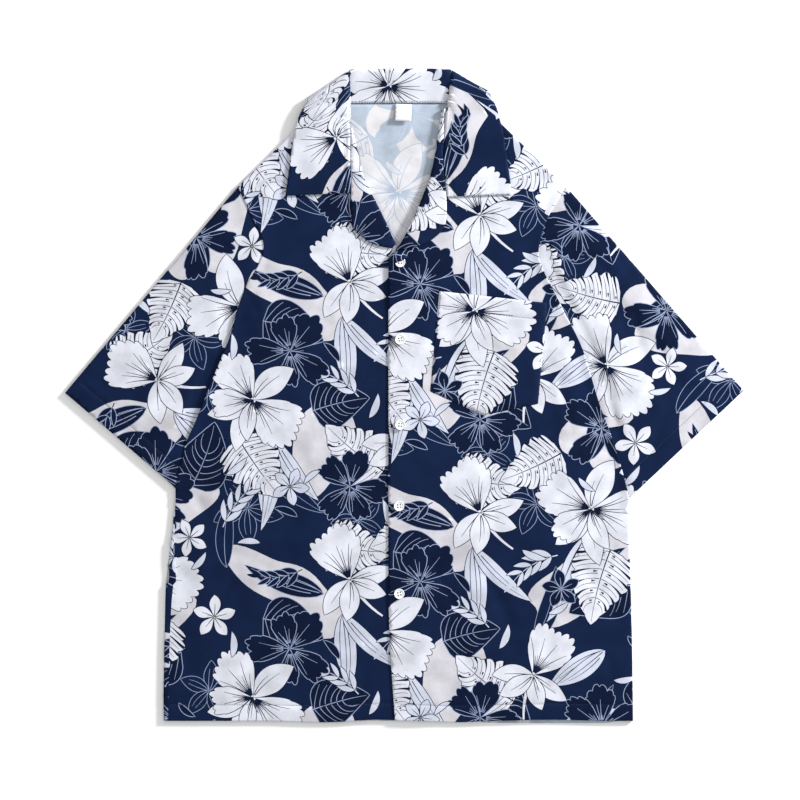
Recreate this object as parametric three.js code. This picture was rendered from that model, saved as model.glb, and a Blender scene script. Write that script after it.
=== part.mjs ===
// Short-sleeved camp collar shirt, buttoned, laid on its back with the sleeves spread.
// Millimetres. +X is to the right seen from above, +Y towards the neck, +Z up.
// The origin is on the ground, under the middle of the shirt's outline.
// Left and right are as seen from above. Sheets are described by the middle of their wall.

import * as THREE from 'three';

// Driving dimensions
const CLOTH = 1.0;
const COLLAR_CLOTH = 1.4;
const GAP = 0.3;
const SEAM = 0.3;
const LOOSE_GAP = 0.6;
const EDGE_FOLD = 1.5;
const BUTTON_DIAMETER = 11.6;
const BUTTON_THICKNESS = 2.4;
const BUTTON_HOLE = 1.9;
const BUTTON_HOLE_SPREAD = 1.75;
const LABEL_WIDTH = 18.5;
const LABEL_LENGTH = 19.5;

// Heights of the layers, middle of each wall
const BACK_HEIGHT = CLOTH / 2;
const FRONT_ABOVE_BACK = 2 * EDGE_FOLD;
const PLY_STEP = CLOTH + GAP;
const FALL_HEIGHT = COLLAR_CLOTH / 2;
const FALL_LIFT = COLLAR_CLOTH + GAP;

// Where the layers step up or down, from and to
const FALL_RAMP = { along: [270, 303], across: [110, 155] };
const CLOSURE_RAMP = [12, 52];
const TOP_BUTTON_RAMP = [22, 80];
const NO_FOLDS = {
  closure: [26, 46],
  pocketLeft: 10,
  pocketRight: [160, 176],
  pocketBottom: [-60, -34],
  collarBottom: [170, 215],
  collarSide: [150, 175],
};

// Outline of the body
const MIDDLE_X = -6.0;
const TOP_OF_CLOSURE = 160.0;
const HEM_Y = -370.0;
const NECK_Y = 331.2;
const NECK_LEFT = { x: -93.6, y: 330.9 };
const NECK_RIGHT = { x: 86.0, y: 330.9 };
const NECK_DIP = 7;
const BUTTON_X = -5.0;

const SIDE_LEFT = [
  { x: -273.0, y: -366.5 },
  { x: -273.6, y: -346.0 },
  { x: -272.8, y: -290.0 },
  { x: -271.0, y: -214.0 },
  { x: -267.0, y: -180.0 },
  { x: -263.0, y: -150.0 },
  { x: -259.8, y: -106.5 },
];

const SIDE_RIGHT = [
  { x: 259.5, y: -369.0 },
  { x: 258.8, y: -300.0 },
  { x: 257.0, y: -221.0 },
  { x: 255.0, y: -155.0 },
  { x: 255.6, y: -117.0 },
];

// Armhole seams, from the side seam up to the shoulder point
const ARMHOLE_LEFT = [
  { x: -259.8, y: -106.5 },
  { x: -249.2, y: -58.0 },
  { x: -237.0, y: -29.5 },
  { x: -216.7, y: 21.6 },
  { x: -198.6, y: 65.9 },
  { x: -188.3, y: 102.2 },
  { x: -178.0, y: 127.0 },
  { x: -166.3, y: 147.0 },
  { x: -160.0, y: 167.0 },
  { x: -164.0, y: 184.0 },
  { x: -175.0, y: 206.0 },
  { x: -189.0, y: 236.3 },
];

const ARMHOLE_RIGHT = [
  { x: 255.6, y: -117.0 },
  { x: 240.0, y: -60.0 },
  { x: 221.0, y: -8.0 },
  { x: 202.9, y: 51.1 },
  { x: 183.0, y: 92.0 },
  { x: 168.8, y: 120.0 },
  { x: 158.0, y: 142.0 },
  { x: 152.5, y: 161.0 },
  { x: 157.0, y: 185.0 },
  { x: 166.0, y: 207.0 },
  { x: 183.6, y: 236.3 },
];

// Sleeve hems, from the underarm end to the top fold
const SLEEVE_HEM_LEFT = [
  { x: -263.4, y: -102.6 },
  { x: -385.2, y: 2.3 },
];

const SLEEVE_HEM_RIGHT = [
  { x: 259.4, y: -113.4 },
  { x: 385.2, y: 4.9 },
];

// Front edges, roll lines and the neck edges hidden under the collar
const UNDER_EDGE = [
  { x: 14.0, y: -370.0 },
  { x: 8.6, y: -290.0 },
  { x: 8.6, y: 155.6 },
];

const OVER_EDGE = [
  { x: -10.7, y: -370.0 },
  { x: -16.4, y: -290.0 },
  { x: -18.2, y: -230.0 },
  { x: -18.2, y: 155.6 },
];

const UNDER_ROLL = [
  { x: -10.6, y: 170.6 },
  { x: -25.8, y: 203.8 },
  { x: -38.9, y: 229.2 },
  { x: -46.0, y: 244.2 },
  { x: -52.3, y: 267.5 },
  { x: -59.6, y: 303.0 },
];

const OVER_ROLL = [
  { x: -17.0, y: 155.6 },
  { x: -3.0, y: 171.9 },
  { x: 7.6, y: 192.8 },
  { x: 18.5, y: 217.0 },
  { x: 32.0, y: 254.5 },
  { x: 39.5, y: 296.0 },
  { x: 43.4, y: 324.0 },
];

// Outer edges of the turned lapels, from the top button up to the end of the gorge seam
const UNDER_LAPEL = [
  { x: -13.5, y: 166.6 },
  { x: -23.2, y: 167.9 },
  { x: -38.9, y: 173.1 },
  { x: -49.3, y: 180.3 },
  { x: -56.5, y: 186.9 },
  { x: -60.2, y: 197.0 },
  { x: -60.4, y: 229.5 },
  { x: -61.2, y: 304.0 },
];

const OVER_LAPEL = [
  { x: -15.0, y: 158.0 },
  { x: -5.4, y: 164.7 },
  { x: 10.2, y: 167.9 },
  { x: 25.9, y: 173.1 },
  { x: 36.3, y: 180.3 },
  { x: 43.5, y: 187.9 },
  { x: 47.4, y: 199.0 },
  { x: 47.7, y: 225.0 },
  { x: 44.2, y: 262.0 },
  { x: 44.4, y: 290.0 },
  { x: 46.4, y: 325.0 },
];

// Collar, one row for each section across it, from the end of the left leaf to the right one.
// seam is the neck or gorge seam, roll the middle of the roll and edge the outer edge.
// turn is -90 where the leaf lies on the front and 90 where the fall lies behind the back.
// curl is 0 where the collar lies flat on the gorge seam and 1 where it is rolled.
const COLLAR_SECTIONS = [
  { seamX: -60.8, seamY: 229.3, rollX: -63, rollY: 229.3, edgeX: -135.0, edgeY: 226.3, turn: -90, curl: 0 },
  { seamX: -61.0, seamY: 246.0, rollX: -63, rollY: 246.0, edgeX: -132.6, edgeY: 244.0, turn: -90, curl: 0 },
  { seamX: -61.4, seamY: 264.0, rollX: -63, rollY: 264.0, edgeX: -129.8, edgeY: 264.0, turn: -90, curl: 0 },
  { seamX: -61.6, seamY: 283.0, rollX: -63, rollY: 283.0, edgeX: -127.2, edgeY: 283.0, turn: -90, curl: 0 },
  { seamX: -61.8, seamY: 303.4, rollX: -63, rollY: 303.4, edgeX: -123.8, edgeY: 302.0, turn: -90, curl: 0 },
  { seamX: -67.0, seamY: 310.2, rollX: -63, rollY: 314.0, edgeX: -121.0, edgeY: 313.0, turn: -90, curl: 1 },
  { seamX: -76.8, seamY: 318.2, rollX: -63, rollY: 329.0, edgeX: -116.6, edgeY: 323.0, turn: -90, curl: 1 },
  { seamX: -86.6, seamY: 326.1, rollX: -63, rollY: 343.0, edgeX: -113.0, edgeY: 329.0, turn: -90, curl: 1 },
  { seamX: -92.0, seamY: 332.2, rollX: -63.2, rollY: 354.0, edgeX: -110.4, edgeY: 332.4, turn: -90, curl: 1 },
  { seamX: -91.0, seamY: 332.2, rollX: -63.4, rollY: 359.0, edgeX: -109.4, edgeY: 333.4, turn: -60, curl: 1 },
  { seamX: -88.0, seamY: 332.2, rollX: -63.2, rollY: 363.2, edgeX: -108.4, edgeY: 333.8, turn: -30, curl: 1 },
  { seamX: -84.0, seamY: 332.2, rollX: -62.0, rollY: 366.4, edgeX: -107.2, edgeY: 334.0, turn: 0, curl: 1 },
  { seamX: -79.0, seamY: 332.2, rollX: -59.4, rollY: 368.0, edgeX: -105.6, edgeY: 333.6, turn: 30, curl: 1 },
  { seamX: -73.0, seamY: 332.2, rollX: -55.8, rollY: 368.3, edgeX: -103.4, edgeY: 332.2, turn: 60, curl: 1 },
  { seamX: -66.0, seamY: 331.5, rollX: -51.0, rollY: 368.3, edgeX: -99.0, edgeY: 329.0, turn: 90, curl: 1 },
  { seamX: -46.0, seamY: 331.5, rollX: -38.0, rollY: 368.4, edgeX: -72.0, edgeY: 316.0, turn: 90, curl: 1 },
  { seamX: -26.0, seamY: 331.5, rollX: -22.0, rollY: 368.4, edgeX: -40.0, edgeY: 309.5, turn: 90, curl: 1 },
  { seamX: -6.0, seamY: 331.5, rollX: -6.0, rollY: 368.4, edgeX: -6.0, edgeY: 307.5, turn: 90, curl: 1 },
  { seamX: 16.0, seamY: 331.5, rollX: 11.0, rollY: 368.4, edgeX: 27.0, edgeY: 309.5, turn: 90, curl: 1 },
  { seamX: 38.0, seamY: 331.5, rollX: 28.0, rollY: 368.3, edgeX: 58.0, edgeY: 316.0, turn: 90, curl: 1 },
  { seamX: 60.0, seamY: 331.5, rollX: 44.0, rollY: 368.2, edgeX: 84.0, edgeY: 329.0, turn: 90, curl: 1 },
  { seamX: 66.0, seamY: 331.5, rollX: 48.8, rollY: 368.0, edgeX: 90.0, edgeY: 336.0, turn: 60, curl: 1 },
  { seamX: 72.0, seamY: 332.2, rollX: 52.4, rollY: 367.4, edgeX: 92.6, edgeY: 339.4, turn: 30, curl: 1 },
  { seamX: 76.5, seamY: 332.2, rollX: 54.6, rollY: 365.4, edgeX: 94.2, edgeY: 341.4, turn: 0, curl: 1 },
  { seamX: 79.5, seamY: 332.2, rollX: 54.8, rollY: 361.6, edgeX: 95.6, edgeY: 341.8, turn: -30, curl: 1 },
  { seamX: 81.5, seamY: 332.2, rollX: 54.2, rollY: 357.0, edgeX: 97.0, edgeY: 340.6, turn: -60, curl: 1 },
  { seamX: 83.0, seamY: 332.2, rollX: 53.4, rollY: 352.0, edgeX: 99.4, edgeY: 336.8, turn: -90, curl: 1 },
  { seamX: 70.0, seamY: 330.6, rollX: 52.2, rollY: 342.0, edgeX: 103.4, edgeY: 329.0, turn: -90, curl: 1 },
  { seamX: 56.0, seamY: 328.8, rollX: 50.4, rollY: 332.0, edgeX: 106.0, edgeY: 322.0, turn: -90, curl: 1 },
  { seamX: 47.6, seamY: 323.0, rollX: 49.0, rollY: 323.0, edgeX: 107.4, edgeY: 316.0, turn: -90, curl: 0 },
  { seamX: 45.4, seamY: 301.0, rollX: 48.0, rollY: 301.0, edgeX: 112.0, edgeY: 299.0, turn: -90, curl: 0 },
  { seamX: 44.8, seamY: 283.0, rollX: 48.0, rollY: 283.0, edgeX: 114.6, edgeY: 282.0, turn: -90, curl: 0 },
  { seamX: 44.9, seamY: 264.0, rollX: 48.0, rollY: 264.0, edgeX: 117.2, edgeY: 264.0, turn: -90, curl: 0 },
  { seamX: 46.6, seamY: 245.0, rollX: 48.0, rollY: 245.0, edgeX: 119.8, edgeY: 246.0, turn: -90, curl: 0 },
  { seamX: 48.4, seamY: 225.2, rollX: 48.0, rollY: 225.2, edgeX: 121.8, edgeY: 228.0, turn: -90, curl: 0 },
];

// Patch pocket on the over front: corners and the point of its bottom edge
const POCKET = {
  topLeft: { x: 39.6, y: 117.9 },
  topRight: { x: 162.3, y: 104.5 },
  bottomLeft: { x: 29.1, y: 4.0 },
  bottomRight: { x: 151.8, y: -10.2 },
  point: { x: 90.4, y: -23.3 },
};

const BUTTONS = [
  { name: 'button_1', x: -4.8, y: 150.9 },
  { name: 'button_2', x: -4.7, y: 63.0 },
  { name: 'button_3', x: -4.7, y: -33.9 },
  { name: 'button_4', x: -6.1, y: -126.1 },
  { name: 'button_5', x: -5.8, y: -225.7 },
];

// Largest soft folds of the upper layer: from one end to the other, half width and height
const SOFT_FOLDS = [
  { x0: -168, y0: 120, x1: -120, y1: -60, width: 34, height: 1.3 },
  { x0: -215, y0: 10, x1: -165, y1: -210, width: 30, height: 1.2 },
  { x0: -110, y0: -110, x1: -85, y1: -330, width: 30, height: 1.1 },
  { x0: -235, y0: -150, x1: -225, y1: -335, width: 24, height: 1.1 },
  { x0: 168, y0: 90, x1: 196, y1: -110, width: 28, height: 1.3 },
  { x0: 150, y0: -120, x1: 185, y1: -335, width: 32, height: 1.2 },
  { x0: 75, y0: -100, x1: 95, y1: -340, width: 30, height: 1.1 },
  { x0: -205, y0: 180, x1: -330, y1: 20, width: 24, height: 1.1 },
  { x0: -225, y0: 90, x1: -300, y1: -30, width: 22, height: 1.0 },
  { x0: 205, y0: 175, x1: 330, y1: 25, width: 24, height: 1.1 },
  { x0: 225, y0: 80, x1: 300, y1: -35, width: 22, height: 1.0 },
];

// Waves of the front hem: middle along X, half width and how far the edge moves down
const HEM_WAVES = [
  { x: -95, width: 60, depth: 1.6 },
  { x: -30, width: 45, depth: -1.4 },
  { x: 60, width: 45, depth: 1.5 },
  { x: 165, width: 70, depth: -1.4 },
];

// Grid of the panels
const LOW_ROWS = 9;
const CHEST_ROWS = 9;
const ROLL_ROWS = 9;
const NECK_ROWS = 2;
const FRONT_COLUMNS = 10;
const COLUMN_CROWDING = 1.35;
const SLEEVE_COLUMNS = 6;
const BACK_SHOULDER_COLUMNS = 4;
const BACK_NECK_COLUMNS = 7;
const CHEST_SHARE = 0.6;
const ROLL_SHARE = 0.93;
const NECK_RISE_POWER = 1.5;
const EDGE_ANGLES = [76, 50, 25, 0];

const radians = THREE.MathUtils.degToRad;
const mix = THREE.MathUtils.lerp;
const ease = (start, end, value) => THREE.MathUtils.smoothstep((value - start) / (end - start), 0, 1);

const point = ({ x, y }) => new THREE.Vector2(x, y);
const between = (a, b, share) => new THREE.Vector2(mix(a.x, b.x, share), mix(a.y, b.y, share));

// A smooth line through the rows of a table, as evenly spaced points
function smoothLine(rows) {
  const curve = new THREE.SplineCurve(rows.map(point));
  return (share) => curve.getPointAt(THREE.MathUtils.clamp(share, 0, 1));
}

// X of a table's line at a height
function xAt(rows, y) {
  const last = rows.length - 1;
  const rising = rows[last].y > rows[0].y;
  for (let i = 0; i < last; i += 1) {
    const passed = rising ? y <= rows[i + 1].y : y >= rows[i + 1].y;
    if (passed || i === last - 1) {
      return mix(rows[i].x, rows[i + 1].x, (y - rows[i].y) / (rows[i + 1].y - rows[i].y));
    }
  }
  return rows[last].x;
}

// Height of one soft fold at a place
function foldHeight(fold, x, y) {
  const alongX = fold.x1 - fold.x0;
  const alongY = fold.y1 - fold.y0;
  const share = ((x - fold.x0) * alongX + (y - fold.y0) * alongY) / (alongX ** 2 + alongY ** 2);
  const held = THREE.MathUtils.clamp(share, 0, 1);
  const away = Math.hypot(x - fold.x0 - held * alongX, y - fold.y0 - held * alongY);
  return fold.height * (1 - ease(0, fold.width, away));
}

// Soft relief of the upper layer, kept off the closure, the pocket and the collar
function relief(x, y) {
  const closure = ease(...NO_FOLDS.closure, Math.abs(x - BUTTON_X));
  const besidePocket = x > NO_FOLDS.pocketLeft ? ease(...NO_FOLDS.pocketRight, x) : 1;
  const pocket = Math.max(1 - ease(...NO_FOLDS.pocketBottom, y), besidePocket);
  const collar = ease(...NO_FOLDS.collarBottom, y) * (1 - ease(...NO_FOLDS.collarSide, Math.abs(x)));
  const sum = SOFT_FOLDS.reduce((total, fold) => total + foldHeight(fold, x, y), 0);
  return sum * closure * pocket * (1 - collar);
}

// The back lies on the ground, and over the collar's fall behind the neck
function backHeight(x, y) {
  const over = ease(...FALL_RAMP.along, y) * (1 - ease(...FALL_RAMP.across, Math.abs(x - MIDDLE_X)));
  return BACK_HEIGHT + FALL_LIFT * over;
}

const underHeight = (x, y) => backHeight(x, y) + FRONT_ABOVE_BACK + relief(x, y);

// The over front is lifted by the under front at the closure, and by a lapel at the top button
function overHeight(x, y) {
  const closure = 1 - ease(...CLOSURE_RAMP, x);
  const fromTopButton = Math.hypot(x - MIDDLE_X, y - TOP_OF_CLOSURE);
  const topButton = 1 - ease(...TOP_BUTTON_RAMP, fromTopButton);
  return underHeight(x, y) + PLY_STEP * (closure + topButton);
}

const leafHeight = (x, y) => backHeight(x, y) + FRONT_ABOVE_BACK
  + CLOTH / 2 + LOOSE_GAP + COLLAR_CLOTH / 2;

// A closed wall round a grid of points on its middle
function wall(rows, thickness) {
  const rowCount = rows.length;
  const columnCount = rows[0].length;
  const positions = [];
  const along = new THREE.Vector3();
  const across = new THREE.Vector3();
  [thickness / 2, -thickness / 2].forEach((offset) => {
    rows.forEach((row, i) => row.forEach((middle, j) => {
      along.subVectors(row[Math.min(j + 1, columnCount - 1)], row[Math.max(j - 1, 0)]);
      across.subVectors(rows[Math.min(i + 1, rowCount - 1)][j], rows[Math.max(i - 1, 0)][j]);
      const normal = along.cross(across).normalize();
      positions.push(...middle.clone().addScaledVector(normal, offset).toArray());
    }));
  });
  const top = (i, j) => i * columnCount + j;
  const bottom = (i, j) => rowCount * columnCount + top(i, j);
  const faces = [];
  const quad = (a, b, c, d) => faces.push(a, b, c, a, c, d);
  for (let i = 0; i < rowCount - 1; i += 1) {
    for (let j = 0; j < columnCount - 1; j += 1) {
      quad(top(i, j), top(i, j + 1), top(i + 1, j + 1), top(i + 1, j));
      quad(bottom(i, j), bottom(i + 1, j), bottom(i + 1, j + 1), bottom(i, j + 1));
    }
    const end = columnCount - 1;
    quad(top(i, 0), top(i + 1, 0), bottom(i + 1, 0), bottom(i, 0));
    quad(top(i + 1, end), top(i, end), bottom(i, end), bottom(i + 1, end));
  }
  for (let j = 0; j < columnCount - 1; j += 1) {
    const end = rowCount - 1;
    quad(top(0, j + 1), top(0, j), bottom(0, j), bottom(0, j + 1));
    quad(top(end, j), top(end, j + 1), bottom(end, j + 1), bottom(end, j));
  }
  const geometry = new THREE.BufferGeometry();
  geometry.setAttribute('position', new THREE.Float32BufferAttribute(positions, 3));
  geometry.setIndex(faces);
  geometry.computeVertexNormals();
  return geometry;
}

// Distance from a folded edge, and the drop towards it, for each angle round its half fold
const edgeSteps = EDGE_ANGLES.map((angle) => ({
  inset: EDGE_FOLD * (1 - Math.sin(radians(angle))),
  drop: EDGE_FOLD * (1 - Math.cos(radians(angle))),
}));

// Shares of the armhole seam at which every piece beside it has a row
function armholeShares() {
  const stretches = [
    { from: 0, to: CHEST_SHARE, count: CHEST_ROWS },
    { from: CHEST_SHARE, to: ROLL_SHARE, count: ROLL_ROWS },
    { from: ROLL_SHARE, to: 1, count: NECK_ROWS },
  ];
  return stretches.flatMap(({ from, to, count }) => (
    Array.from({ length: count }, (_, i) => mix(from, to, (i + 1) / count))));
}

// Points of a body panel's outer boundary from hem to shoulder, moved in by half a seam
function outerPoints(side, armhole, inwards) {
  const points = [];
  const armpitY = side[side.length - 1].y;
  for (let i = 0; i <= LOW_ROWS; i += 1) {
    const y = mix(side[0].y, armpitY, i / LOW_ROWS);
    points.push({ at: new THREE.Vector2(xAt(side, y), y), folded: 1 - ease(LOW_ROWS - 1, LOW_ROWS, i) });
  }
  const line = smoothLine(armhole);
  armholeShares().forEach((share) => {
    const at = line(share);
    at.x += inwards * SEAM / 2;
    points.push({ at, folded: 0 });
  });
  return points;
}

// Points of a front's inner boundary: closure edge, roll line, then the neck under the collar
function innerPoints(edge, roll, armpitY, neck) {
  const points = [];
  for (let i = 0; i <= LOW_ROWS; i += 1) {
    const y = mix(edge[0].y, armpitY, i / LOW_ROWS);
    points.push(new THREE.Vector2(xAt(edge, y), y));
  }
  const top = edge[edge.length - 1];
  for (let i = 1; i < CHEST_ROWS; i += 1) {
    const y = mix(armpitY, top.y, i / (CHEST_ROWS - 1));
    points.push(new THREE.Vector2(xAt(edge, y), y));
  }
  const line = smoothLine(roll);
  for (let i = 0; i <= ROLL_ROWS; i += 1) points.push(line(i / ROLL_ROWS));
  const gorge = point(roll[roll.length - 1]);
  for (let i = 1; i <= NECK_ROWS; i += 1) {
    const at = between(gorge, neck, i / NECK_ROWS);
    at.y -= NECK_DIP * Math.sin(Math.PI * (i / NECK_ROWS));
    points.push(at);
  }
  return points;
}

// Moves the front hem's edge down or up in long waves
function hemShift(x, y) {
  const WAVE_REACH = 60;
  const near = 1 - ease(HEM_Y, HEM_Y + WAVE_REACH, y);
  return HEM_WAVES.reduce((total, wave) => (
    total - near * wave.depth * (1 - ease(0, wave.width, Math.abs(x - wave.x)))), 0);
}

// Adds steps near the end of a line of points, so that its last stretch can be folded
function withFoldedEnd(points) {
  const last = points[points.length - 1];
  const before = points[points.length - 2];
  const length = last.distanceTo(before);
  const inner = points.slice(0, -1).map((at) => ({ at, drop: 0 }));
  const outer = [...edgeSteps].reverse().map(({ inset, drop }) => (
    { at: between(last, before, inset / length), drop }));
  return [...inner, ...outer];
}

// A front panel: rows run from the side or armhole to the closure or the roll line
function frontPanel(spec) {
  const outer = outerPoints(spec.side, spec.armhole, spec.inwards);
  const inner = innerPoints(spec.edge, spec.roll, outer[LOW_ROWS].at.y, spec.neck);
  const lines = outer.map(({ at, folded }, i) => {
    const length = at.distanceTo(inner[i]);
    const edge = edgeSteps.map(({ inset, drop }) => (
      { at: between(at, inner[i], inset / length), drop: drop * folded }));
    const plain = [];
    for (let j = 1; j <= FRONT_COLUMNS; j += 1) {
      const share = 1 - (1 - j / FRONT_COLUMNS) ** COLUMN_CROWDING;
      plain.push({ at: between(at, inner[i], mix(EDGE_FOLD / length, 1, share)), drop: 0 });
    }
    return [...edge, ...plain];
  });
  const columns = lines[0].map((_, j) => {
    const sideDrops = lines.map((line) => line[j].drop);
    return withFoldedEnd(lines.map((line) => line[j].at)).map(({ at, drop }, i) => {
      const sideDrop = i < sideDrops.length ? sideDrops[i] : 0;
      const y = at.y + hemShift(at.x, at.y);
      return new THREE.Vector3(at.x, y, spec.height(at.x, at.y) - Math.max(drop, sideDrop));
    });
  });
  const rows = columns[0].map((_, i) => columns.map((column) => column[i]));
  return wall(spec.inwards > 0 ? rows : rows.map((row) => [...row].reverse()), CLOTH);
}

// The back panel: rows run from the left side to the right side
function backPanel() {
  const left = outerPoints(SIDE_LEFT, ARMHOLE_LEFT, 1);
  const right = outerPoints(SIDE_RIGHT, ARMHOLE_RIGHT, -1);
  const top = [];
  const shoulderLeft = left[left.length - 1].at;
  const shoulderRight = right[right.length - 1].at;
  const neckLeft = new THREE.Vector2(NECK_LEFT.x, NECK_Y);
  const neckRight = new THREE.Vector2(NECK_RIGHT.x, NECK_Y);
  const stretches = [
    { from: shoulderLeft, to: neckLeft, count: BACK_SHOULDER_COLUMNS, folded: 1 },
    { from: neckLeft, to: neckRight, count: BACK_NECK_COLUMNS, folded: 0 },
    { from: neckRight, to: shoulderRight, count: BACK_SHOULDER_COLUMNS, folded: 1 },
  ];
  stretches.forEach(({ from, to, count, folded }) => {
    for (let i = 0; i < count; i += 1) top.push({ at: between(from, to, i / count), folded });
  });
  top.push({ at: shoulderRight, folded: 1 });
  const width = shoulderLeft.distanceTo(shoulderRight);
  const shares = top.map(({ at }) => (at.x - shoulderLeft.x) / width);
  const lines = left.map(({ at: from, folded: foldedLeft }, i) => {
    const { at: to, folded: foldedRight } = right[i];
    const length = from.distanceTo(to);
    const rise = ease(LOW_ROWS, left.length - 1, i) ** NECK_RISE_POWER;
    const plain = shares.map((share, j) => {
      const held = THREE.MathUtils.clamp(share, EDGE_FOLD / length, 1 - EDGE_FOLD / length);
      const at = between(from, to, held);
      const level = between(shoulderLeft, shoulderRight, share);
      at.y += rise * (top[j].at.y - level.y);
      return { at, drop: 0 };
    });
    const steps = edgeSteps.slice(0, -1);
    const leftEdge = steps.map(({ inset, drop }) => (
      { at: between(from, plain[0].at, inset / EDGE_FOLD), drop: drop * foldedLeft }));
    const rightEdge = steps.map(({ inset, drop }) => (
      { at: between(to, plain[plain.length - 1].at, inset / EDGE_FOLD), drop: drop * foldedRight }));
    return [...leftEdge, ...plain, ...rightEdge.reverse()];
  });
  const edgeCount = edgeSteps.length - 1;
  const columns = lines[0].map((_, j) => {
    const topIndex = THREE.MathUtils.clamp(j - edgeCount, 0, top.length - 1);
    const drops = lines.map((line) => line[j].drop);
    return withFoldedEnd(lines.map((line) => line[j].at)).map(({ at, drop }, i) => {
      const sideDrop = i < drops.length ? drops[i] : 0;
      const rise = Math.max(drop * top[topIndex].folded, sideDrop);
      return new THREE.Vector3(at.x, at.y, backHeight(at.x, at.y) + rise);
    });
  });
  const rows = columns[0].map((_, i) => columns.map((column) => column[i]));
  return wall(rows, CLOTH);
}

// A sleeve: one sheet folded along its top edge, from the upper underarm to the lower one
function sleeve(spec) {
  const armhole = smoothLine(spec.armhole);
  const hem = smoothLine(spec.hem);
  const shares = [0, ...armholeShares()];
  const plan = shares.map((share) => {
    const from = armhole(share);
    from.x -= spec.inwards * SEAM / 2;
    const to = hem(share);
    const line = [];
    for (let j = 0; j <= SLEEVE_COLUMNS; j += 1) line.push(between(from, to, j / SLEEVE_COLUMNS));
    return line;
  });
  const columns = plan[0].map((_, j) => {
    const line = plan.map((row) => row[j]);
    const folded = withFoldedEnd(line);
    const upper = folded.map(({ at, drop }) => (
      new THREE.Vector3(at.x, at.y, underHeight(at.x, at.y) - drop)));
    const lower = folded.map(({ at, drop }) => (
      new THREE.Vector3(at.x, at.y, backHeight(at.x, at.y) + drop)));
    return [...upper, ...lower.reverse()];
  });
  const rows = columns[0].map((_, i) => columns.map((column) => column[i]));
  return wall(spec.inwards > 0 ? rows.map((row) => [...row].reverse()) : rows, CLOTH);
}

// A facing: a strip under the front, a roll round its edge, and the lapel on top
function facing(spec) {
  const STRIP = 9;
  const STRIP_STEPS = 2;
  const ROLL_STEPS = 6;
  const LAPEL_STEPS = 6;
  const LAPEL_LOFT = 0.7;
  const LOFT_END = 0.8;
  const STEP_ALONG = 0.02;
  const roll = smoothLine(spec.roll);
  const lapel = smoothLine(spec.lapel);
  const rows = [];
  for (let i = 0; i <= ROLL_ROWS; i += 1) {
    const share = i / ROLL_ROWS;
    const centre = roll(share);
    const ahead = roll(share + STEP_ALONG).sub(roll(share - STEP_ALONG)).normalize();
    const inwards = new THREE.Vector2(ahead.y, -ahead.x).multiplyScalar(spec.inwards);
    const row = [];
    for (let j = 0; j < STRIP_STEPS; j += 1) {
      const at = centre.clone().addScaledVector(inwards, STRIP * (1 - j / STRIP_STEPS));
      row.push(new THREE.Vector3(at.x, at.y, spec.height(at.x, at.y) - PLY_STEP));
    }
    const middle = spec.height(centre.x, centre.y);
    for (let j = 0; j <= ROLL_STEPS; j += 1) {
      const angle = Math.PI * (j / ROLL_STEPS);
      const at = centre.clone().addScaledVector(inwards, -PLY_STEP * Math.sin(angle));
      row.push(new THREE.Vector3(at.x, at.y, middle - PLY_STEP * Math.cos(angle)));
    }
    const outer = lapel(share);
    for (let j = 1; j <= LAPEL_STEPS; j += 1) {
      const at = between(centre, outer, j / LAPEL_STEPS);
      const loft = LAPEL_LOFT * Math.sin(Math.PI * (j / LAPEL_STEPS) * LOFT_END);
      row.push(new THREE.Vector3(at.x, at.y, spec.height(at.x, at.y) + PLY_STEP + loft));
    }
    rows.push(row);
  }
  return wall(spec.inwards > 0 ? rows.map((row) => [...row].reverse()) : rows, CLOTH);
}

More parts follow.
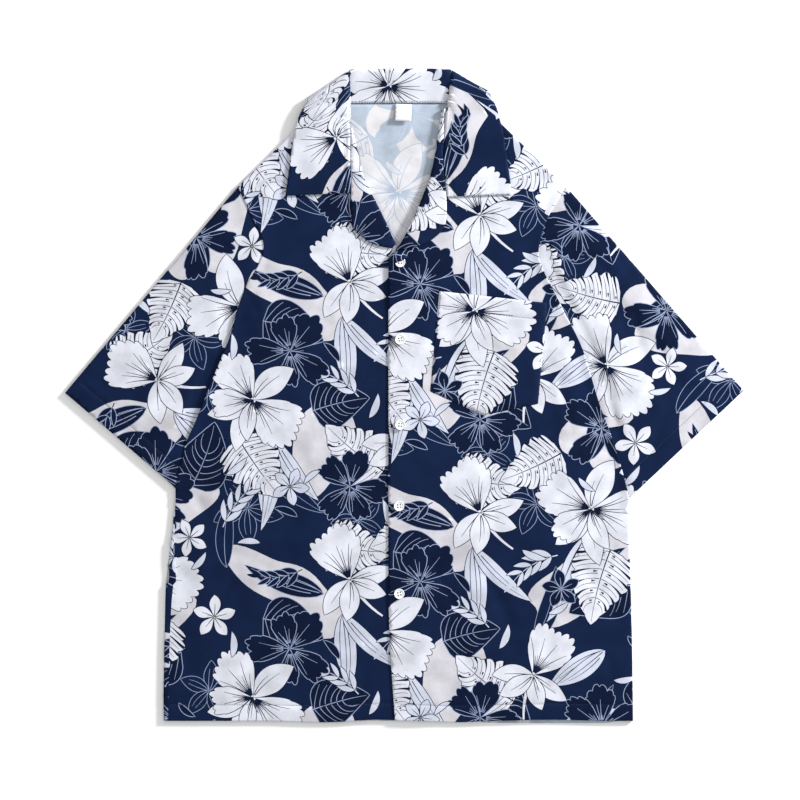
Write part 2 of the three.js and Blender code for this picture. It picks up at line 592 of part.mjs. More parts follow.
// One section of the collar, from the neck seam round the roll to the outer edge
function collarSection(row) {
  const STAND_STEPS = 3;
  const ROLL_STEPS = 6;
  const FALL_STEPS = 6;
  const LEAF_ROLL_RADIUS = 1.45;
  const FALL_ROLL_RADIUS = 2.2;
  const SEAM_UNDER_LEAF = 2.8;
  const SEAM_OVER_FALL = 2.2;
  const FLAT_STAND = 2;
  const behind = (Math.sin(radians(row.turn)) + 1) / 2;
  const radius = mix(LEAF_ROLL_RADIUS, FALL_ROLL_RADIUS, behind);
  const outwards = new THREE.Vector3(row.edgeX - row.rollX, row.edgeY - row.rollY, 0).normalize();
  const level = new THREE.Vector3(-outwards.y, outwards.x, 0);
  if (level.y > 0) level.negate();
  const standSide = level.multiplyScalar(Math.cos(radians(row.turn)));
  standSide.z += Math.sin(radians(row.turn));
  const leafAtEdge = leafHeight(row.edgeX, row.edgeY);
  const edge = new THREE.Vector3(row.edgeX, row.edgeY, mix(leafAtEdge, FALL_HEIGHT, 0.5));
  edge.addScaledVector(standSide, -(leafAtEdge - FALL_HEIGHT) / 2);
  const leafAtSeam = leafHeight(row.seamX, row.seamY);
  const points = [];
  if (row.curl === 0) {
    const start = new THREE.Vector3(row.seamX, row.seamY, leafAtSeam);
    const along = (length) => start.clone().addScaledVector(outwards, length);
    for (let j = 0; j < STAND_STEPS; j += 1) points.push(along(FLAT_STAND * (j / STAND_STEPS)));
    for (let j = 0; j <= ROLL_STEPS; j += 1) {
      points.push(along(FLAT_STAND + Math.PI * radius * (j / ROLL_STEPS)));
    }
  } else {
    const centreZ = mix(leafHeight(row.rollX, row.rollY) - radius, FALL_HEIGHT + radius, behind);
    const centre = new THREE.Vector3(row.rollX, row.rollY, centreZ);
    const seamZ = row.turn < 0 ? leafAtSeam - SEAM_UNDER_LEAF : FALL_HEIGHT + SEAM_OVER_FALL;
    const seam = new THREE.Vector3(row.seamX, row.seamY, seamZ);
    const standEnd = centre.clone().addScaledVector(standSide, radius);
    for (let j = 0; j < STAND_STEPS; j += 1) points.push(seam.clone().lerp(standEnd, j / STAND_STEPS));
    for (let j = 0; j <= ROLL_STEPS; j += 1) {
      const angle = Math.PI * (j / ROLL_STEPS);
      points.push(centre.clone()
        .addScaledVector(standSide, radius * Math.cos(angle))
        .addScaledVector(outwards, -radius * Math.sin(angle)));
    }
  }
  const from = points[points.length - 1];
  for (let j = 1; j <= FALL_STEPS; j += 1) {
    const at = from.clone().lerp(edge, j / FALL_STEPS);
    if (row.turn === -90) at.z = leafHeight(at.x, at.y);
    points.push(at);
  }
  return points;
}

const collarWall = () => wall(COLLAR_SECTIONS.map(collarSection), COLLAR_CLOTH);

// The pocket is made from the over front's points, moved out
function pocketWall() {
  const COLUMNS = 8;
  const ROWS = 7;
  const rows = [];
  for (let i = 0; i <= ROWS; i += 1) {
    const row = [];
    for (let j = 0; j <= COLUMNS; j += 1) {
      const share = j / COLUMNS;
      const base = between(POCKET.bottomLeft, POCKET.bottomRight, share);
      const depth = between(POCKET.bottomLeft, POCKET.bottomRight, 0.5).distanceTo(point(POCKET.point));
      base.y -= depth * (1 - Math.abs(2 * share - 1));
      const at = between(base, between(POCKET.topLeft, POCKET.topRight, share), i / ROWS);
      row.push(new THREE.Vector3(at.x, at.y, overHeight(at.x, at.y) + CLOTH + LOOSE_GAP));
    }
    rows.push(row);
  }
  return wall(rows, CLOTH);
}

// The label hangs from the neck seam over the inside of the back
function labelWall() {
  const STEPS = 4;
  const TILT = radians(-2);
  const HANG = 1.4;
  const TOP = new THREE.Vector2(-1, NECK_Y - 0.8);
  const rows = [];
  for (let i = 0; i <= STEPS; i += 1) {
    const row = [];
    for (let j = 0; j <= STEPS; j += 1) {
      const at = new THREE.Vector2((j / STEPS - 0.5) * LABEL_WIDTH, -LABEL_LENGTH * (1 - i / STEPS));
      at.rotateAround(new THREE.Vector2(0, 0), TILT).add(TOP);
      const lift = CLOTH + GAP + HANG * (1 - i / STEPS);
      row.push(new THREE.Vector3(at.x, at.y, backHeight(at.x, at.y) + lift));
    }
    rows.push(row);
  }
  return wall(rows, CLOTH);
}

// A four-hole button
function buttonGeometry() {
  const SEGMENTS = 11;
  const HOLE_SEGMENTS = 6;
  const shape = new THREE.Shape().absarc(0, 0, BUTTON_DIAMETER / 2, 0, 2 * Math.PI);
  [45, 135, 225, 315].forEach((angle) => {
    const x = BUTTON_HOLE_SPREAD * Math.cos(radians(angle));
    const y = BUTTON_HOLE_SPREAD * Math.sin(radians(angle));
    const turns = [];
    for (let i = HOLE_SEGMENTS; i > 0; i -= 1) {
      const turn = 2 * Math.PI * (i / HOLE_SEGMENTS);
      const radius = BUTTON_HOLE / 2;
      turns.push(new THREE.Vector2(x + radius * Math.cos(turn), y + radius * Math.sin(turn)));
    }
    shape.holes.push(new THREE.Path(turns));
  });
  return new THREE.ExtrudeGeometry(shape, {
    depth: BUTTON_THICKNESS,
    bevelEnabled: false,
    curveSegments: SEGMENTS,
  });
}

function clothMaterial(color) {
  return new THREE.MeshStandardMaterial({ color, roughness: 0.82, metalness: 0 });
}

const shirt = new THREE.Group();

function addPiece(name, geometry, material) {
  const mesh = new THREE.Mesh(geometry, material);
  mesh.name = name;
  shirt.add(mesh);
  return mesh;
}

const NAVY = '#26365f';
const WHITE = '#e9e9f2';

addPiece('back', backPanel(), clothMaterial(NAVY));

addPiece('front_under', frontPanel({
  side: SIDE_LEFT,
  armhole: ARMHOLE_LEFT,
  edge: UNDER_EDGE,
  roll: UNDER_ROLL,
  neck: NECK_LEFT,
  inwards: 1,
  height: underHeight,
}), clothMaterial(NAVY));

addPiece('front_over', frontPanel({
  side: SIDE_RIGHT,
  armhole: ARMHOLE_RIGHT,
  edge: OVER_EDGE,
  roll: OVER_ROLL,
  neck: NECK_RIGHT,
  inwards: -1,
  height: overHeight,
}), clothMaterial(NAVY));

addPiece('sleeve_left', sleeve({
  armhole: ARMHOLE_LEFT,
  hem: SLEEVE_HEM_LEFT,
  inwards: 1,
}), clothMaterial(NAVY));

addPiece('sleeve_right', sleeve({
  armhole: ARMHOLE_RIGHT,
  hem: SLEEVE_HEM_RIGHT,
  inwards: -1,
}), clothMaterial(NAVY));

addPiece('facing_under', facing({
  roll: UNDER_ROLL,
  lapel: UNDER_LAPEL,
  inwards: -1,
  height: underHeight,
}), clothMaterial(NAVY));

addPiece('facing_over', facing({
  roll: OVER_ROLL,
  lapel: OVER_LAPEL,
  inwards: 1,
  height: overHeight,
}), clothMaterial(NAVY));

addPiece('collar', collarWall(), clothMaterial(WHITE));
addPiece('pocket', pocketWall(), clothMaterial(NAVY));
addPiece('neck_label', labelWall(), clothMaterial('#f4f4f2'));

BUTTONS.forEach(({ name, x, y }) => {
  const material = new THREE.MeshStandardMaterial({ color: '#f1f0ec', roughness: 0.3, metalness: 0 });
  const button = addPiece(name, buttonGeometry(), material);
  button.position.set(x, y, overHeight(x, y) + CLOTH / 2 + GAP);
});

export default shirt;
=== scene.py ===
import math

import bpy
import numpy as np
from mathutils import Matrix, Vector
from mathutils.geometry import delaunay_2d_cdt


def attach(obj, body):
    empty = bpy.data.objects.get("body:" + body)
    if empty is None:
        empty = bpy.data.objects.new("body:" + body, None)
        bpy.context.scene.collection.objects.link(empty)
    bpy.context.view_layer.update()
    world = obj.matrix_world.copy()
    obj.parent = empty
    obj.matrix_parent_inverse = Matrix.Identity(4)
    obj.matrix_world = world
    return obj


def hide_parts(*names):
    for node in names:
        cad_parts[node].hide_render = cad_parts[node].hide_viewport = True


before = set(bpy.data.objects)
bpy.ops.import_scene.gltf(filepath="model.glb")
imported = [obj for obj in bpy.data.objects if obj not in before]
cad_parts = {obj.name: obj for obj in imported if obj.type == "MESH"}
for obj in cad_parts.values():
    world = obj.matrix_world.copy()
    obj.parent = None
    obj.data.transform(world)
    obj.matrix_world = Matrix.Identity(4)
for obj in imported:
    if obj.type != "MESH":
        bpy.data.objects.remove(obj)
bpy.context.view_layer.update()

# Walls, rounded edges, hems and seams
CLOTH = 0.6
THIN_CLOTH = 0.4
COLLAR_CLOTH = 1.2
SOLID_CLOTH = 1.0
EDGE_FOLD = 1.5
ROUND_STEPS = (0.12, 0.45, 1.0, 1.6)
SEAM_ROUND = 0.7
HEM_DEPTH = 18.0
SLEEVE_HEM_DEPTH = 20.0
POCKET_HEM_DEPTH = 19.5
ARMHOLE_GAP = 0.15
ARMHOLE_RIDGE = 0.7
GROOVE_WIDTH = 1.2
GROOVE_DEPTH = 0.35
POCKET_GROOVE_DEPTH = 0.3
SEAM_GROOVE_WIDTH = 2.0
GROOVE_RAILS = (-0.8, 0, 0.8)
# How high the layers lie on each other, and how far folds run out
BACK_HEIGHT = 0.5
FRONT_ABOVE_BACK = 3.0
PLY_STEP = 1.3
LOOSE_GAP = 0.6
FALL_HEIGHT = 0.7
FALL_LIFT = 1.7
SLEEVE_DIP = 2.1
SLEEVE_TUCK = 2.0
CREASE_FADE = 0.45
LAPEL_LOFT = 0.7
POCKET_LOFT = 0.8
COLLAR_ROLL_FRONT = 1.45
COLLAR_ROLL_BACK = 2.2
COLLAR_SEAM_DROP = 2.8
COLLAR_SEAM_LIFT = 2.2
# Places of the hem, the neck seam and the middle, and how far the back shows below the front
HEM_Y = -370.0
NECK_Y = 331.2
NECK_DIP = 7.0
MIDDLE_X = -6.0
BACK_PEEK = 2.6
# Spacing of the net inside a sheet and of the points along its edges, and room round its flat map
GRID = 4.0
STEP = 3.0
MAP_MARGIN = 3.0
MAP_RIM = 0.8
# The label, and how it hangs from the neck seam
LABEL_WIDTH = 18.5
LABEL_LENGTH = 19.5
LABEL_TILT = math.radians(-2)
# Buttons, the threads across their holes, and the dark plugs in the holes that are painted shade
BUTTON_RADIUS = 5.8
BUTTON_THICK = 2.3
BUTTON_RIM = 0.7
BUTTON_RIM_RISE = 0.1
BUTTON_SLOPE = 0.8
BUTTON_DISH = 1.2
BUTTON_CROWN = 0.12
BUTTON_BEVEL = 0.3
BUTTON_HOLE = 1.9
BUTTON_HOLE_SPREAD = 2.1
BUTTON_LIFT = 0.8
BUTTON_TURNS = (0, 9, -6, 4, 12)
THREAD_WIDTH = 0.35
THREAD_LENGTH = 3.4
THREAD_BELOW_RIM = 0.5
HOLE_SHADE_RADIUS = 0.93
HOLE_SHADE_DEPTH = 1.68
# The lip of cloth round the top buttonhole
LIP_RADIUS = 10.5
LIP_ENDS = (22, 204)
LIP_RISE = 3.0
LIP_ABOVE = 1.0
LIP_LOWEST = 0.5
# Where the dip beside each sleeve's armhole runs out
LEFT_DIP_END = (84, 112)
RIGHT_DIP_END = (150, 200)
# Stitches, and how far they lie above the middle of the wall
STITCH_LENGTH = 2.3
STITCH_WIDTH = 0.4
STITCH_PITCH = 2.8
STITCH_LIFT = 0.4
BACK_STITCH_LIFT = -0.2
NECK_STITCH_LIFT = 0.75
NECK_STITCHES = (0.8, 3.2)
NECK_SECTIONS = [14, 20]
POCKET_STITCH_INSET = 1.6
# The floor, the light and the camera, in metres, watts and millimetres of lens
FLOOR_SIZE = 6.0
KEY_PLACE = (2.41, 1.5, 0.977)
KEY_SIZE = 0.4
KEY_POWER = 160
FILL_STRENGTH = 0.7
CAMERA_PLACE = (-0.005, -0.0057, 6.0)
CAMERA_LENS = 237.6
CAMERA_SENSOR = 36
CAMERA_REACH = 20

SIDE_LEFT = [(-273.0, -370.0), (-273.6, -346.0), (-272.8, -290.0), (-271.0, -214.0),
             (-267.0, -180.0), (-263.0, -150.0), (-259.8, -106.5)]
SIDE_RIGHT = [(259.5, -370.0), (258.8, -300.0), (257.0, -221.0), (255.0, -155.0), (255.6, -117.0)]
# The side seam, which has turned to the front on the left, and the rolled tab beside it
SIDE_SEAM = [(-268.5, -369.9), (-266.8, -290.0), (-264.7, -240.0), (-262.4, -212.0), (-261.5, -170.0),
             (-260.4, -130.0), (-259.9, -108.0)]
ROLLED_TAB = np.array([(-263.4, -166.0), (-264.2, -208.0)])
TAB_STEP = 3.2
TAB_WIDTH = 4.5
TAB_HEIGHT = 1.0
ARMHOLE_LEFT = [(-259.8, -106.5), (-249.2, -58.0), (-237.0, -29.5), (-216.7, 21.6), (-198.6, 65.9),
                (-188.3, 102.2), (-178.0, 127.0), (-166.3, 147.0), (-160.0, 167.0), (-164.0, 184.0),
                (-175.0, 206.0), (-189.0, 236.3)]
ARMHOLE_RIGHT = [(255.6, -117.0), (240.0, -60.0), (221.0, -8.0), (202.9, 51.1), (183.0, 92.0),
                 (168.8, 120.0), (158.0, 142.0), (152.5, 161.0), (157.0, 185.0), (166.0, 207.0),
                 (183.6, 236.3)]
SLEEVE_HEM_LEFT = [(-263.4, -102.6), (-385.2, 2.3)]
SLEEVE_HEM_RIGHT = [(259.4, -113.4), (385.2, 4.9)]
UNDER_EDGE = [(14.0, -370.0), (8.6, -290.0), (8.6, 155.6)]
OVER_EDGE = [(-10.7, -370.0), (-16.4, -290.0), (-18.2, -230.0), (-18.2, 155.6)]
UNDER_ROLL = [(-10.6, 170.6), (-25.8, 203.8), (-38.9, 229.2), (-46.0, 244.2), (-52.3, 267.5),
              (-59.6, 303.0)]
OVER_ROLL = [(-17.0, 155.6), (-3.0, 171.9), (7.6, 192.8), (18.5, 217.0), (32.0, 254.5),
             (39.5, 296.0), (43.4, 324.0)]
UNDER_LAPEL = [(-13.5, 166.6), (-23.2, 167.9), (-38.9, 173.1), (-49.3, 180.3), (-56.5, 186.9),
               (-60.2, 197.0), (-60.4, 229.5), (-61.2, 304.0)]
OVER_LAPEL = [(-15.0, 158.0), (-5.4, 164.7), (10.2, 167.9), (25.9, 173.1), (36.3, 180.3),
              (43.5, 187.9), (47.4, 199.0), (47.7, 225.0), (44.2, 262.0), (44.4, 290.0),
              (46.4, 325.0)]
NECK_LEFT = (-93.6, 330.9)
NECK_RIGHT = (86.0, 330.9)
POCKET = [(29.1, 4.0), (90.4, -23.3), (151.8, -10.2), (162.3, 104.5), (39.6, 117.9)]
BUTTONS = {"button_1": (-4.8, 150.9), "button_2": (-4.7, 63.0), "button_3": (-4.7, -33.9),
           "button_4": (-6.1, -126.1), "button_5": (-5.8, -225.7)}

# Collar sections from the end of the left leaf to the right one: seam, roll and edge in X and Y,
# turn (-90 on the front, 90 behind the back) and curl (0 flat on the gorge seam, 1 rolled)
COLLAR_SECTIONS = [
    (-60.8, 229.3, -63.0, 229.3, -135.0, 226.3, -90, 0),
    (-61.0, 246.0, -63.0, 246.0, -132.6, 244.0, -90, 0),
    (-61.4, 264.0, -63.0, 264.0, -129.8, 264.0, -90, 0),
    (-61.6, 283.0, -63.0, 283.0, -127.2, 283.0, -90, 0),
    (-61.8, 303.4, -63.0, 303.4, -123.8, 302.0, -90, 0),
    (-67.0, 310.2, -63.0, 314.0, -121.0, 313.0, -90, 1),
    (-76.8, 318.2, -63.0, 329.0, -116.6, 323.0, -90, 1),
    (-86.6, 326.1, -63.0, 343.0, -113.0, 329.0, -90, 1),
    (-92.0, 332.2, -63.2, 354.0, -110.4, 332.4, -90, 1),
    (-91.0, 332.2, -63.4, 359.0, -109.4, 333.4, -60, 1),
    (-88.0, 332.2, -63.2, 363.2, -108.4, 333.8, -30, 1),
    (-84.0, 332.2, -62.0, 366.4, -107.2, 334.0, 0, 1),
    (-79.0, 332.2, -59.4, 368.0, -105.6, 333.6, 30, 1),
    (-73.0, 332.2, -55.8, 368.3, -103.4, 332.2, 60, 1),
    (-66.0, 331.5, -51.0, 368.3, -99.0, 329.0, 90, 1),
    (-46.0, 331.5, -38.0, 368.4, -72.0, 316.0, 90, 1),
    (-26.0, 331.5, -22.0, 368.4, -40.0, 309.5, 90, 1),
    (-6.0, 331.5, -6.0, 368.4, -6.0, 307.5, 90, 1),
    (16.0, 331.5, 11.0, 368.4, 27.0, 309.5, 90, 1),
    (38.0, 331.5, 28.0, 368.3, 58.0, 316.0, 90, 1),
    (60.0, 331.5, 44.0, 368.2, 84.0, 329.0, 90, 1),
    (66.0, 331.5, 48.8, 368.0, 90.0, 336.0, 60, 1),
    (72.0, 332.2, 52.4, 367.4, 92.6, 339.4, 30, 1),
    (76.5, 332.2, 54.6, 365.4, 94.2, 341.4, 0, 1),
    (79.5, 332.2, 54.8, 361.6, 95.6, 341.8, -30, 1),
    (81.5, 332.2, 54.2, 357.0, 97.0, 340.6, -60, 1),
    (83.0, 332.2, 53.4, 352.0, 99.4, 336.8, -90, 1),
    (70.0, 330.6, 52.2, 342.0, 103.4, 329.0, -90, 1),
    (56.0, 328.8, 50.4, 332.0, 106.0, 322.0, -90, 1),
    (47.6, 323.0, 49.0, 323.0, 107.4, 316.0, -90, 0),
    (45.4, 301.0, 48.0, 301.0, 112.0, 299.0, -90, 0),
    (44.8, 283.0, 48.0, 283.0, 114.6, 282.0, -90, 0),
    (44.9, 264.0, 48.0, 264.0, 117.2, 264.0, -90, 0),
    (46.6, 245.0, 48.0, 245.0, 119.8, 246.0, -90, 0),
    (48.4, 225.2, 48.0, 225.2, 121.8, 228.0, -90, 0),
]

# Soft folds and creases of the upper layer: both ends, half width and height. Troughs are negative.
FOLDS = [
    (-168, 120, -120, -60, 34, 1.2), (-215, 10, -165, -210, 30, 1.0), (-110, -110, -85, -330, 30, 1.1),
    (-235, -150, -225, -335, 24, 0.9), (168, 90, 196, -110, 28, 1.2), (150, -120, 185, -335, 32, 1.1),
    (75, -100, 95, -340, 30, 1.1), (-205, 180, -330, 20, 24, 1.1), (-225, 90, -300, -30, 22, 1.0),
    (205, 175, 330, 25, 24, 1.1), (225, 80, 300, -35, 22, 1.0),
    # Creases that run out from the armholes and the underarms
    (-246, -60, -150, -20, 11, -0.9), (-250, -92, -170, -120, 12, -0.9), (-236, -118, -196, -176, 9, -0.8),
    (232, -62, 160, -46, 11, -0.9), (246, -104, 178, -150, 12, -0.9), (200, 40, 158, 12, 9, -0.6),
    (-194, 70, -140, 60, 10, -0.6), (-180, 120, -150, 60, 8, -0.6),
    # Short creases on the sleeves, across them and towards the hems
    (-222, 40, -246, -22, 9, -1.0), (-262, 20, -296, -44, 10, -0.9), (-250, 108, -312, 44, 9, -0.9),
    (-286, 74, -346, 24, 8, -0.8), (-212, 150, -262, 96, 9, -0.8), (-330, 2, -352, 20, 8, -0.8),
    (233, 14, 243, -50, 9, -1.4), (262, 92, 270, 40, 8, -0.9), (244, 118, 250, 76, 7, -0.8),
    (284, 62, 318, 8, 9, -0.9), (216, 156, 258, 112, 9, -0.8), (300, -10, 280, -62, 8, -0.9),
    (336, 24, 352, 4, 7, -0.8),
    # Soft pulls beside the closure, under the pocket and towards the hem
    (30, -190, 58, -240, 10, -1.0), (94, -208, 122, -262, 12, -1.2), (52, -262, 84, -330, 10, -0.8),
    (-60, -20, -128, -40, 12, -0.8), (-52, -130, -120, -112, 13, -0.8), (-60, -220, -132, -236, 12, -0.9),
    (-196, -214, -236, -262, 11, -0.9), (-160, -282, -190, -342, 12, -0.9), (-40, -290, -52, -352, 9, -0.8),
    (206, -200, 240, -250, 11, -0.9), (166, -262, 158, -330, 12, -0.9), (232, -300, 240, -352, 9, -0.8),
    (-70, 96, -120, 130, 12, -0.8), (-64, 40, -110, 20, 11, -0.6), (176, 20, 190, -40, 8, -0.8),
]
# The same on the side that lies on the ground, where the cloth is lifted
GROUND_FOLDS = [
    (-150, 200, -120, 40, 26, 0.8), (130, 220, 150, 60, 24, 0.8), (-40, 120, -20, -60, 30, 0.7),
    (-190, -40, -120, -150, 20, 0.7), (190, -60, 120, -170, 20, 0.7), (20, -140, 50, -320, 24, 0.8),
    (-110, -220, -140, -340, 18, 0.7), (150, -230, 176, -350, 16, 0.6), (-220, 60, -300, -20, 16, 0.6),
    (225, 70, 310, -10, 16, 0.6), (-60, 240, 60, 236, 18, 0.5), (-220, -200, -226, -300, 12, 0.6),
]


# Long waves of the front hem: middle, half width and depth. A wave up is negative.
HEM_WAVES = [(-95, 60, 1.6), (-30, 45, -1.4), (60, 45, 1.5), (165, 70, -1.4)]

# Inks, as the places of their colours on the cloth's colour ramp, and their colours in that order
NAVY = 0.0
DEEP = 0.2
PALE = 0.4
LILAC = 0.6
GROUND = 0.8
WHITE = 1.0
RIGHT_SIDE = ["#0f1f40", "#0a1733", "#98a6c6", "#cbd1e1", "#cfcdd4", "#dbdee8"]
REVERSE = ["#b4c0cf", "#afbbcc", "#bcc6d3", "#d4d7dc", "#dad9db", "#dcdce1"]
# The fine line round a motif, the print's repeat, and where the print starts on each piece
LINE = 0.8
TILE_WIDTH = 362.0
TILE_HEIGHT = 338.0
BACK_PRINT = (-101, 118)
UNDER_PRINT = (-30, 20)
OVER_PRINT = (118, 96)
SLEEVE_LEFT_PRINT = (190, 84)
SLEEVE_RIGHT_PRINT = (60, 60)
SLEEVE_PRINT_TURN = 40
FACING_PRINT = (70, 30)
FACING_PRINT_TURN = 60
COLLAR_PRINT = (95, 245)
POCKET_PRINT = (-14, -17)
SEAM_PRINT = (200, -60)
# Threads lie 0.3 mm apart. They are drawn three times as far apart, so that they show from close by.
THREAD_PITCH = 0.0009
RIB_PITCH = 0.0008
TWIST_PITCH = 0.0006
# The scale of a wave pattern times its pitch
WAVE_TURN = 2 * math.pi / 20


def ease(start, end, value):
    """0 before start, 1 past end and smooth between them."""
    share = np.clip((np.asarray(value, float) - start) / (end - start), 0, 1)
    return share * share * (3 - 2 * share)


def mix(a, b, share):
    return a + (b - a) * share


def smooth_line(rows, step=STEP):
    """A smooth line through the rows, as points about a step apart."""
    rows = np.array(rows, float)
    padded = np.vstack([rows[:1], rows, rows[-1:]])
    points = []
    for i in range(len(rows) - 1):
        before, a, b, after = padded[i:i + 4]
        count = max(2, round(np.linalg.norm(b - a) / step))
        t = np.arange(count)[:, None] / count
        start, end = (b - before) / 2, (after - a) / 2
        cubic = (2 * a - 2 * b + start + end) * t ** 3
        points.append(cubic + (3 * b - 3 * a - 2 * start - end) * t ** 2 + start * t + a)
    return np.vstack(points + [rows[-1:]])


def straight_line(rows, step=STEP):
    """A line of straight stretches, as points about a step apart."""
    rows = np.array(rows, float)
    points = []
    for a, b in zip(rows[:-1], rows[1:]):
        count = max(1, round(np.linalg.norm(b - a) / step))
        points.append(mix(a, b, np.arange(count)[:, None] / count))
    return np.vstack(points + [rows[-1:]])


def even_points(line, shares):
    """Points at shares of a line's length."""
    length = np.concatenate([[0], np.cumsum(np.linalg.norm(np.diff(line, axis=0), axis=1))])
    at = np.clip(shares, 0, 1) * length[-1]
    return np.stack([np.interp(at, length, line[:, k]) for k in range(line.shape[1])], -1)


def unit(rows):
    """Vectors brought to length 1, a row each."""
    return rows / (np.linalg.norm(rows, axis=1)[:, None] + 1e-9)


def turning(angle):
    """The matrix that turns rows of points by an angle in degrees."""
    c, s = math.cos(math.radians(angle)), math.sin(math.radians(angle))
    return np.array([[c, s], [-s, c]])


def leftwards(line):
    """Unit vectors to the left of a line, at each of its points."""
    ahead = unit(np.gradient(line, axis=0))
    return np.stack([-ahead[:, 1], ahead[:, 0]], 1)


def towards(ahead, side):
    """The unit vector across a direction, on the side that another vector points to."""
    across = np.array([-ahead[1], ahead[0]]) / np.linalg.norm(ahead)
    return across if side @ across >= 0 else -across


def corners_of(line):
    """A line without the points that lie straight between their neighbours."""
    ahead = unit(np.diff(line, axis=0))
    turned = np.abs(ahead[1:, 0] * ahead[:-1, 1] - ahead[1:, 1] * ahead[:-1, 0]) > 0.004
    return line[np.concatenate([[True], turned, [True]])]


def distance(points, line, reach=60.0):
    """Distance of each point from a line, as far as reach."""
    best = np.full(len(points), reach)
    line = corners_of(line)
    for a, b in zip(line[:-1], line[1:]):
        low, high = np.minimum(a, b) - reach, np.maximum(a, b) + reach
        near = np.flatnonzero(((points > low) & (points < high)).all(1))
        along = b - a
        away = points[near] - a
        share = np.clip(away @ along / (along @ along + 1e-12), 0, 1)
        best[near] = np.minimum(best[near], np.linalg.norm(away - share[:, None] * along, axis=1))
    return best


def rounded_drop(away, radius):
    """How far a rounded edge has dropped at a distance from it."""
    inner = radius - np.clip(away, 0, radius)
    return radius - np.sqrt(np.maximum(radius ** 2 - inner ** 2, 0))


def fold_heights(x, y, folds):
    """The height of folds at each point. A crease runs out at its far end."""
    total = np.zeros_like(x)
    for x0, y0, x1, y1, width, height in folds:
        along = np.array([x1 - x0, y1 - y0], float)
        share = np.clip(((x - x0) * along[0] + (y - y0) * along[1]) / (along @ along), 0, 1)
        away = np.hypot(x - x0 - share * along[0], y - y0 - share * along[1])
        total += height * (1 - CREASE_FADE * share) * (1 - ease(0, width, away))
    return total


def relief(x, y):
    """Folds and creases of the upper layer, kept off the closure, the pocket and the collar."""
    total = fold_heights(x, y, FOLDS)
    closure = ease(26, 46, np.abs(x + 5))
    beside = np.where(x > 10, ease(160, 176, x), 1)
    pocket = np.maximum(1 - ease(-60, -34, y), beside)
    collar = ease(170, 215, y) * (1 - ease(150, 175, np.abs(x)))
    return total * closure * pocket * (1 - collar)


def back_height(x, y):
    """The back lies on the ground, and over the collar's fall behind the neck."""
    return BACK_HEIGHT + FALL_LIFT * ease(270, 303, y) * (1 - ease(110, 155, np.abs(x - MIDDLE_X)))


def under_height(x, y):
    """The middle of the under front's wall, over the back."""
    return back_height(x, y) + FRONT_ABOVE_BACK + relief(x, y)


def over_height(x, y):
    """The over front lies a ply higher at the closure, and round the top button a ply more."""
    closure = 1 - ease(12, 52, x)
    top_button = 1 - ease(22, 80, np.hypot(x - MIDDLE_X, y - 160))
    return under_height(x, y) + PLY_STEP * (closure + top_button)


def leaf_height(x, y):
    """The middle of the collar's leaves, where they lie on the fronts."""
    return back_height(x, y) + FRONT_ABOVE_BACK + SOLID_CLOTH / 2 + LOOSE_GAP + FALL_HEIGHT


def arc(length, curl, share, aside):
    """Points beside an arc that starts at the origin along X and turns by curl."""
    curl = curl if abs(curl) > 0.01 else 0.01
    radius = length / curl
    turn = curl * np.asarray(share, float)
    x = (radius - aside) * np.sin(turn)
    y = radius * (1 - np.cos(turn)) + aside * np.cos(turn)
    return np.stack(np.broadcast_arrays(x, y), -1)


def stroke(points, start, end):
    """A line as an outline whose width goes from start to end."""
    aside = leftwards(points)
    half = np.linspace(start, end, len(points))[:, None] / 2
    return np.concatenate([points + aside * half, (points - aside * half)[::-1]])


def grown(points, by):
    """An outline moved outwards by a small distance."""
    ahead = unit(np.roll(points, -1, 0) - np.roll(points, 1, 0))
    x, y = points[:, 0], points[:, 1]
    turn = np.sum(x * np.roll(y, -1) - y * np.roll(x, -1))
    outwards = np.stack([ahead[:, 1], -ahead[:, 0]], 1) * (1 if turn > 0 else -1)
    return points + outwards * by


def vein(length, curl, share, aside, start, end):
    """A fine line along an arc, beside it, whose width goes from start to end."""
    return stroke(arc(length, curl, share, aside), start, end)


def lined(outline, ink):
    """An outline drawn as a fine line on the navy ground."""
    return [(grown(outline, 0.3), ink), (grown(outline, -0.3), NAVY)]


def other(ink):
    """The ink of the fine lines on a motif."""
    return PALE if ink in (NAVY, DEEP) else DEEP


def rimmed(points, ink):
    """A filled outline with a fine line round it."""
    return [(grown(points, LINE), other(ink)), (points, ink)]


def put(shapes, x, y, angle=0.0):
    """Shapes turned and moved to a place."""
    turn = turning(angle)
    return [(points @ turn + (x, y), ink) for points, ink in shapes]


def leaf_width(width, share, fullness):
    """Half the width of a leaf along its length; a low fullness moves its widest part to the stalk."""
    return width / 2 * np.sin(math.pi * np.clip(share, 0, 1) ** fullness) ** 0.85


def leaf_outline(length, width, curl, fullness, count, lobes=0):
    """A pointed leaf. Lobes are shallow notches along each side."""
    share = np.linspace(0, 1, count)
    half = leaf_width(width, share, fullness)
    if lobes:
        half = half * (0.86 + 0.2 * np.abs(np.sin(math.pi * lobes * (share - 0.04))) ** 0.7)
    left = arc(length, curl, share, half)
    right = arc(length, curl, share[1:-1], -half[1:-1])
    return np.concatenate([left, right[::-1]])[::-1]


def slender_leaf(length, width, curl, ink, lines=(-0.3, 0.22)):
    """A long leaf with fine lines along it."""
    shapes = rimmed(leaf_outline(length, width, curl, 0.8, 15), ink)
    for k, aside in enumerate(lines):
        share = np.linspace(0.05 + 0.1 * k, 0.92 - 0.14 * k, 9)
        line = vein(length, curl, share, aside * leaf_width(width, share, 0.8), 1.0, 0.35)
        shapes.append((line, other(ink)))
    return shapes


